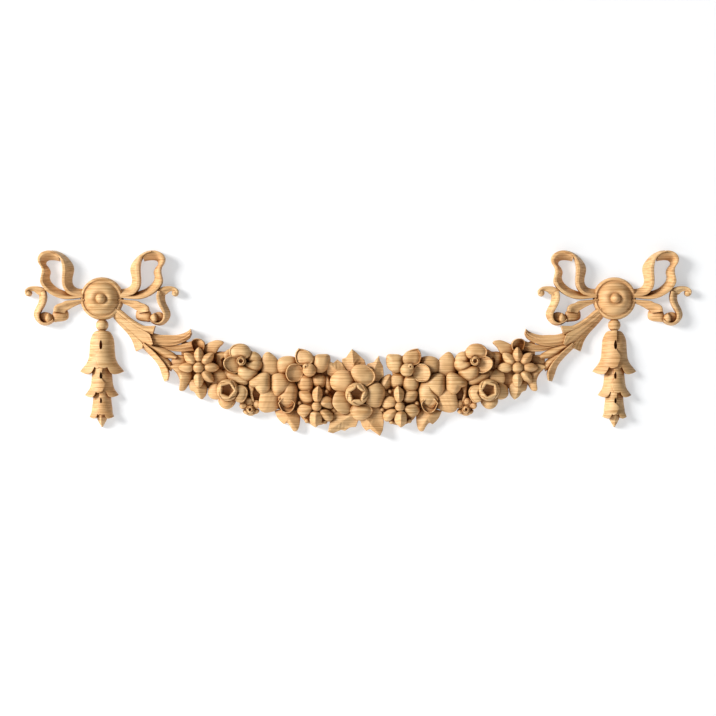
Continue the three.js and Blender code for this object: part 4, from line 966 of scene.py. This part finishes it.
def carve(name, forms, cuts):
    """Joins all the forms into one closed mesh, less the cuts, and flat at the back."""
    scene = bpy.context.scene
    first = mesh_object("first_form", forms[0])
    scene.collection.objects.link(first)
    far = BOSS_SPACING
    joined = helper_group("forms", forms[1:])
    removed = helper_group("cuts", cuts)
    front = helper_group("front", [block((-far, -far, -far), (far, 0, far))])
    boolean(first, "UNION", operand_type="COLLECTION", collection=joined)
    boolean(first, "DIFFERENCE", operand_type="COLLECTION", collection=removed)
    boolean(first, "INTERSECT", operand_type="COLLECTION", collection=front)
    view = bpy.context.evaluated_depsgraph_get()
    mesh = bpy.data.meshes.new_from_object(first.evaluated_get(view))
    bpy.data.objects.remove(first)
    for group in (joined, removed, front):
        for piece in list(group.objects):
            bpy.data.objects.remove(piece)
        bpy.data.collections.remove(group)
    mesh.name = name
    mesh.materials.clear()
    carving = bpy.data.objects.new(name, mesh)
    scene.collection.objects.link(carving)
    for face in mesh.polygons:
        face.use_smooth = True
    mesh.set_sharp_from_angle(angle=SHARP_ANGLE)
    return carving


# Materials


def node_material(name):
    material = bpy.data.materials.new(name)
    material.use_nodes = True
    nodes = material.node_tree.nodes
    nodes.clear()
    return material, nodes, material.node_tree.links


def noise(nodes, **values):
    node = nodes.new("ShaderNodeTexNoise")
    for name, value in values.items():
        node.inputs[name].default_value = value
    return node


def ramp(nodes, links, factor, *stops):
    """A colour that changes with a factor, from two stops of (position, colour)."""
    node = nodes.new("ShaderNodeValToRGB")
    for element, (position, color) in zip(node.color_ramp.elements, stops):
        element.position = position
        element.color = (*color, 1)
    links.new(factor, node.inputs["Fac"])
    return node.outputs["Color"]


def multiply(nodes, links, first, second):
    node = nodes.new("ShaderNodeMix")
    node.data_type = "RGBA"
    node.blend_type = "MULTIPLY"
    node.inputs["Factor"].default_value = 1.0
    links.new(first, node.inputs["A"])
    links.new(second, node.inputs["B"])
    return node.outputs["Result"]


def wood():
    """Pale wood with its grain along X, a little uneven in hue, and with painted shade that darkens its
    deep hollows.
    """
    material, nodes, links = node_material("pale_wood")
    out = nodes.new("ShaderNodeOutputMaterial")
    shader = nodes.new("ShaderNodeBsdfPrincipled")
    shader.inputs["Roughness"].default_value = 0.55
    shader.inputs["Specular IOR Level"].default_value = 0.3
    links.new(shader.outputs["BSDF"], out.inputs["Surface"])

    place = nodes.new("ShaderNodeTexCoord")
    stretch = nodes.new("ShaderNodeMapping")
    stretch.inputs["Scale"].default_value = (14, 90, 1150)
    links.new(place.outputs["Object"], stretch.inputs["Vector"])
    grain = noise(nodes, Scale=1.0, Detail=3.0, Roughness=0.6)
    links.new(stretch.outputs["Vector"], grain.inputs["Vector"])
    dark, pale = (0.36, (0.465, 0.242, 0.087)), (0.58, (0.755, 0.49, 0.245))
    tones = ramp(nodes, links, grain.outputs["Fac"], dark, pale)

    patches = noise(nodes, Scale=22.0, Detail=1.0)
    links.new(place.outputs["Object"], patches.inputs["Vector"])
    hues = ramp(nodes, links, patches.outputs["Fac"], (0.35, (1, 0.93, 0.86)), (0.65, (0.98, 1, 0.98)))
    tinted = multiply(nodes, links, tones, hues)

    # Painted shade: ambient occlusion darkens the base colour in deep hollows and creases, where shade
    # falls.
    hollows = nodes.new("ShaderNodeAmbientOcclusion")
    hollows.samples = 8
    hollows.only_local = True
    hollows.inputs["Distance"].default_value = 0.009
    painted_hollow_shade = ramp(nodes, links, hollows.outputs["AO"], (0.25, (0.4, 0.21, 0.05)), (0.9, (1, 1, 1)))
    links.new(multiply(nodes, links, tinted, painted_hollow_shade), shader.inputs["Base Color"])

    bump = nodes.new("ShaderNodeBump")
    bump.inputs["Strength"].default_value = 0.35
    bump.inputs["Distance"].default_value = 0.0003
    links.new(grain.outputs["Fac"], bump.inputs["Height"])
    links.new(bump.outputs["Normal"], shader.inputs["Normal"])
    return material


def one_sided_white(name):
    """Matt white that is seen from the front alone, so that the back of the piece can be looked at."""
    material, nodes, links = node_material(name)
    out = nodes.new("ShaderNodeOutputMaterial")
    paint = nodes.new("ShaderNodeBsdfPrincipled")
    paint.inputs["Base Color"].default_value = (0.5, 0.5, 0.5, 1)
    paint.inputs["Roughness"].default_value = 1
    paint.inputs["Specular IOR Level"].default_value = 0
    paint.inputs["Emission Color"].default_value = (0.97, 0.985, 1, 1)
    paint.inputs["Emission Strength"].default_value = 0.47
    clear = nodes.new("ShaderNodeBsdfTransparent")
    side = nodes.new("ShaderNodeNewGeometry")
    choose = nodes.new("ShaderNodeMixShader")
    links.new(side.outputs["Backfacing"], choose.inputs["Fac"])
    links.new(paint.outputs["BSDF"], choose.inputs[1])
    links.new(clear.outputs["BSDF"], choose.inputs[2])
    links.new(choose.outputs["Shader"], out.inputs["Surface"])
    return material


# The object

boss_x, boss_z = -BOSS_SPACING / 2, BOSS_RISE
daisy_x, daisy_z = on_swag(*DAISY_PLACE)
left = bow_half(boss_x, boss_z)
left += mirrored(left, about=boss_x)
left += boss(boss_x, boss_z) + drop(boss_x, boss_z) + husk(boss_x, boss_z) + left_flowers()
forms = left + mirrored(left) + ground() + daisy(daisy_x, daisy_z) + daisy(-daisy_x, daisy_z) + middle()
garland = carve("carved_garland_finished", forms, slots(boss_x, boss_z) + slots(-boss_x, boss_z))
garland.data.materials.append(wood())
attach(garland, "root")
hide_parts("carved_garland")

# Wall, floor, light and camera

STAGE_REACH = 3
STAGE_BOTTOM = -0.6
WALL_GAP = 0.0004


def plane(name, corners):
    mesh = bpy.data.meshes.new(name)
    mesh.from_pydata(corners, [], [(0, 1, 2, 3)])
    piece = bpy.data.objects.new(name, mesh)
    bpy.context.scene.collection.objects.link(piece)
    mesh.materials.append(one_sided_white(f"{name}_white"))


sides = [-STAGE_REACH, STAGE_REACH, STAGE_REACH, -STAGE_REACH]
wall_heights = [STAGE_BOTTOM, STAGE_BOTTOM, STAGE_REACH, STAGE_REACH]
floor_depths = [-STAGE_REACH, -STAGE_REACH, STAGE_REACH, STAGE_REACH]
plane("wall", [(x, WALL_GAP, z) for x, z in zip(sides, wall_heights)])
plane("floor", [(x, y, STAGE_BOTTOM) for x, y in zip(sides, floor_depths)])


def area_light(name, place, target, size, power):
    data = bpy.data.lights.new(name, "AREA")
    data.shape = "DISK"
    data.size = size
    data.energy = power
    light = bpy.data.objects.new(name, data)
    bpy.context.scene.collection.objects.link(light)
    light.location = place
    aim = (np.array(target) - np.array(place)).tolist()
    light.rotation_euler = Vector(aim).to_track_quat("-Z", "Y").to_euler()


area_light("key", (-4.9, -3.5, 1.9), target=(0, 0, 0.05), size=2.4, power=590)
world = bpy.data.worlds.new("studio")
bpy.context.scene.world = world
world.use_nodes = True
world.node_tree.nodes["Background"].inputs["Color"].default_value = (1, 1, 1, 1)
world.node_tree.nodes["Background"].inputs["Strength"].default_value = 0.06

camera_data = bpy.data.cameras.new("camera")
camera_data.lens = 110
camera_data.sensor_width = 36
camera = bpy.data.objects.new("camera", camera_data)
camera.location = (-0.0002, -2.2, 0.038)
camera.rotation_euler = (math.pi / 2, 0, 0)
bpy.context.scene.collection.objects.link(camera)
bpy.context.scene.camera = camera
bpy.context.scene.view_settings.view_transform = "Standard"
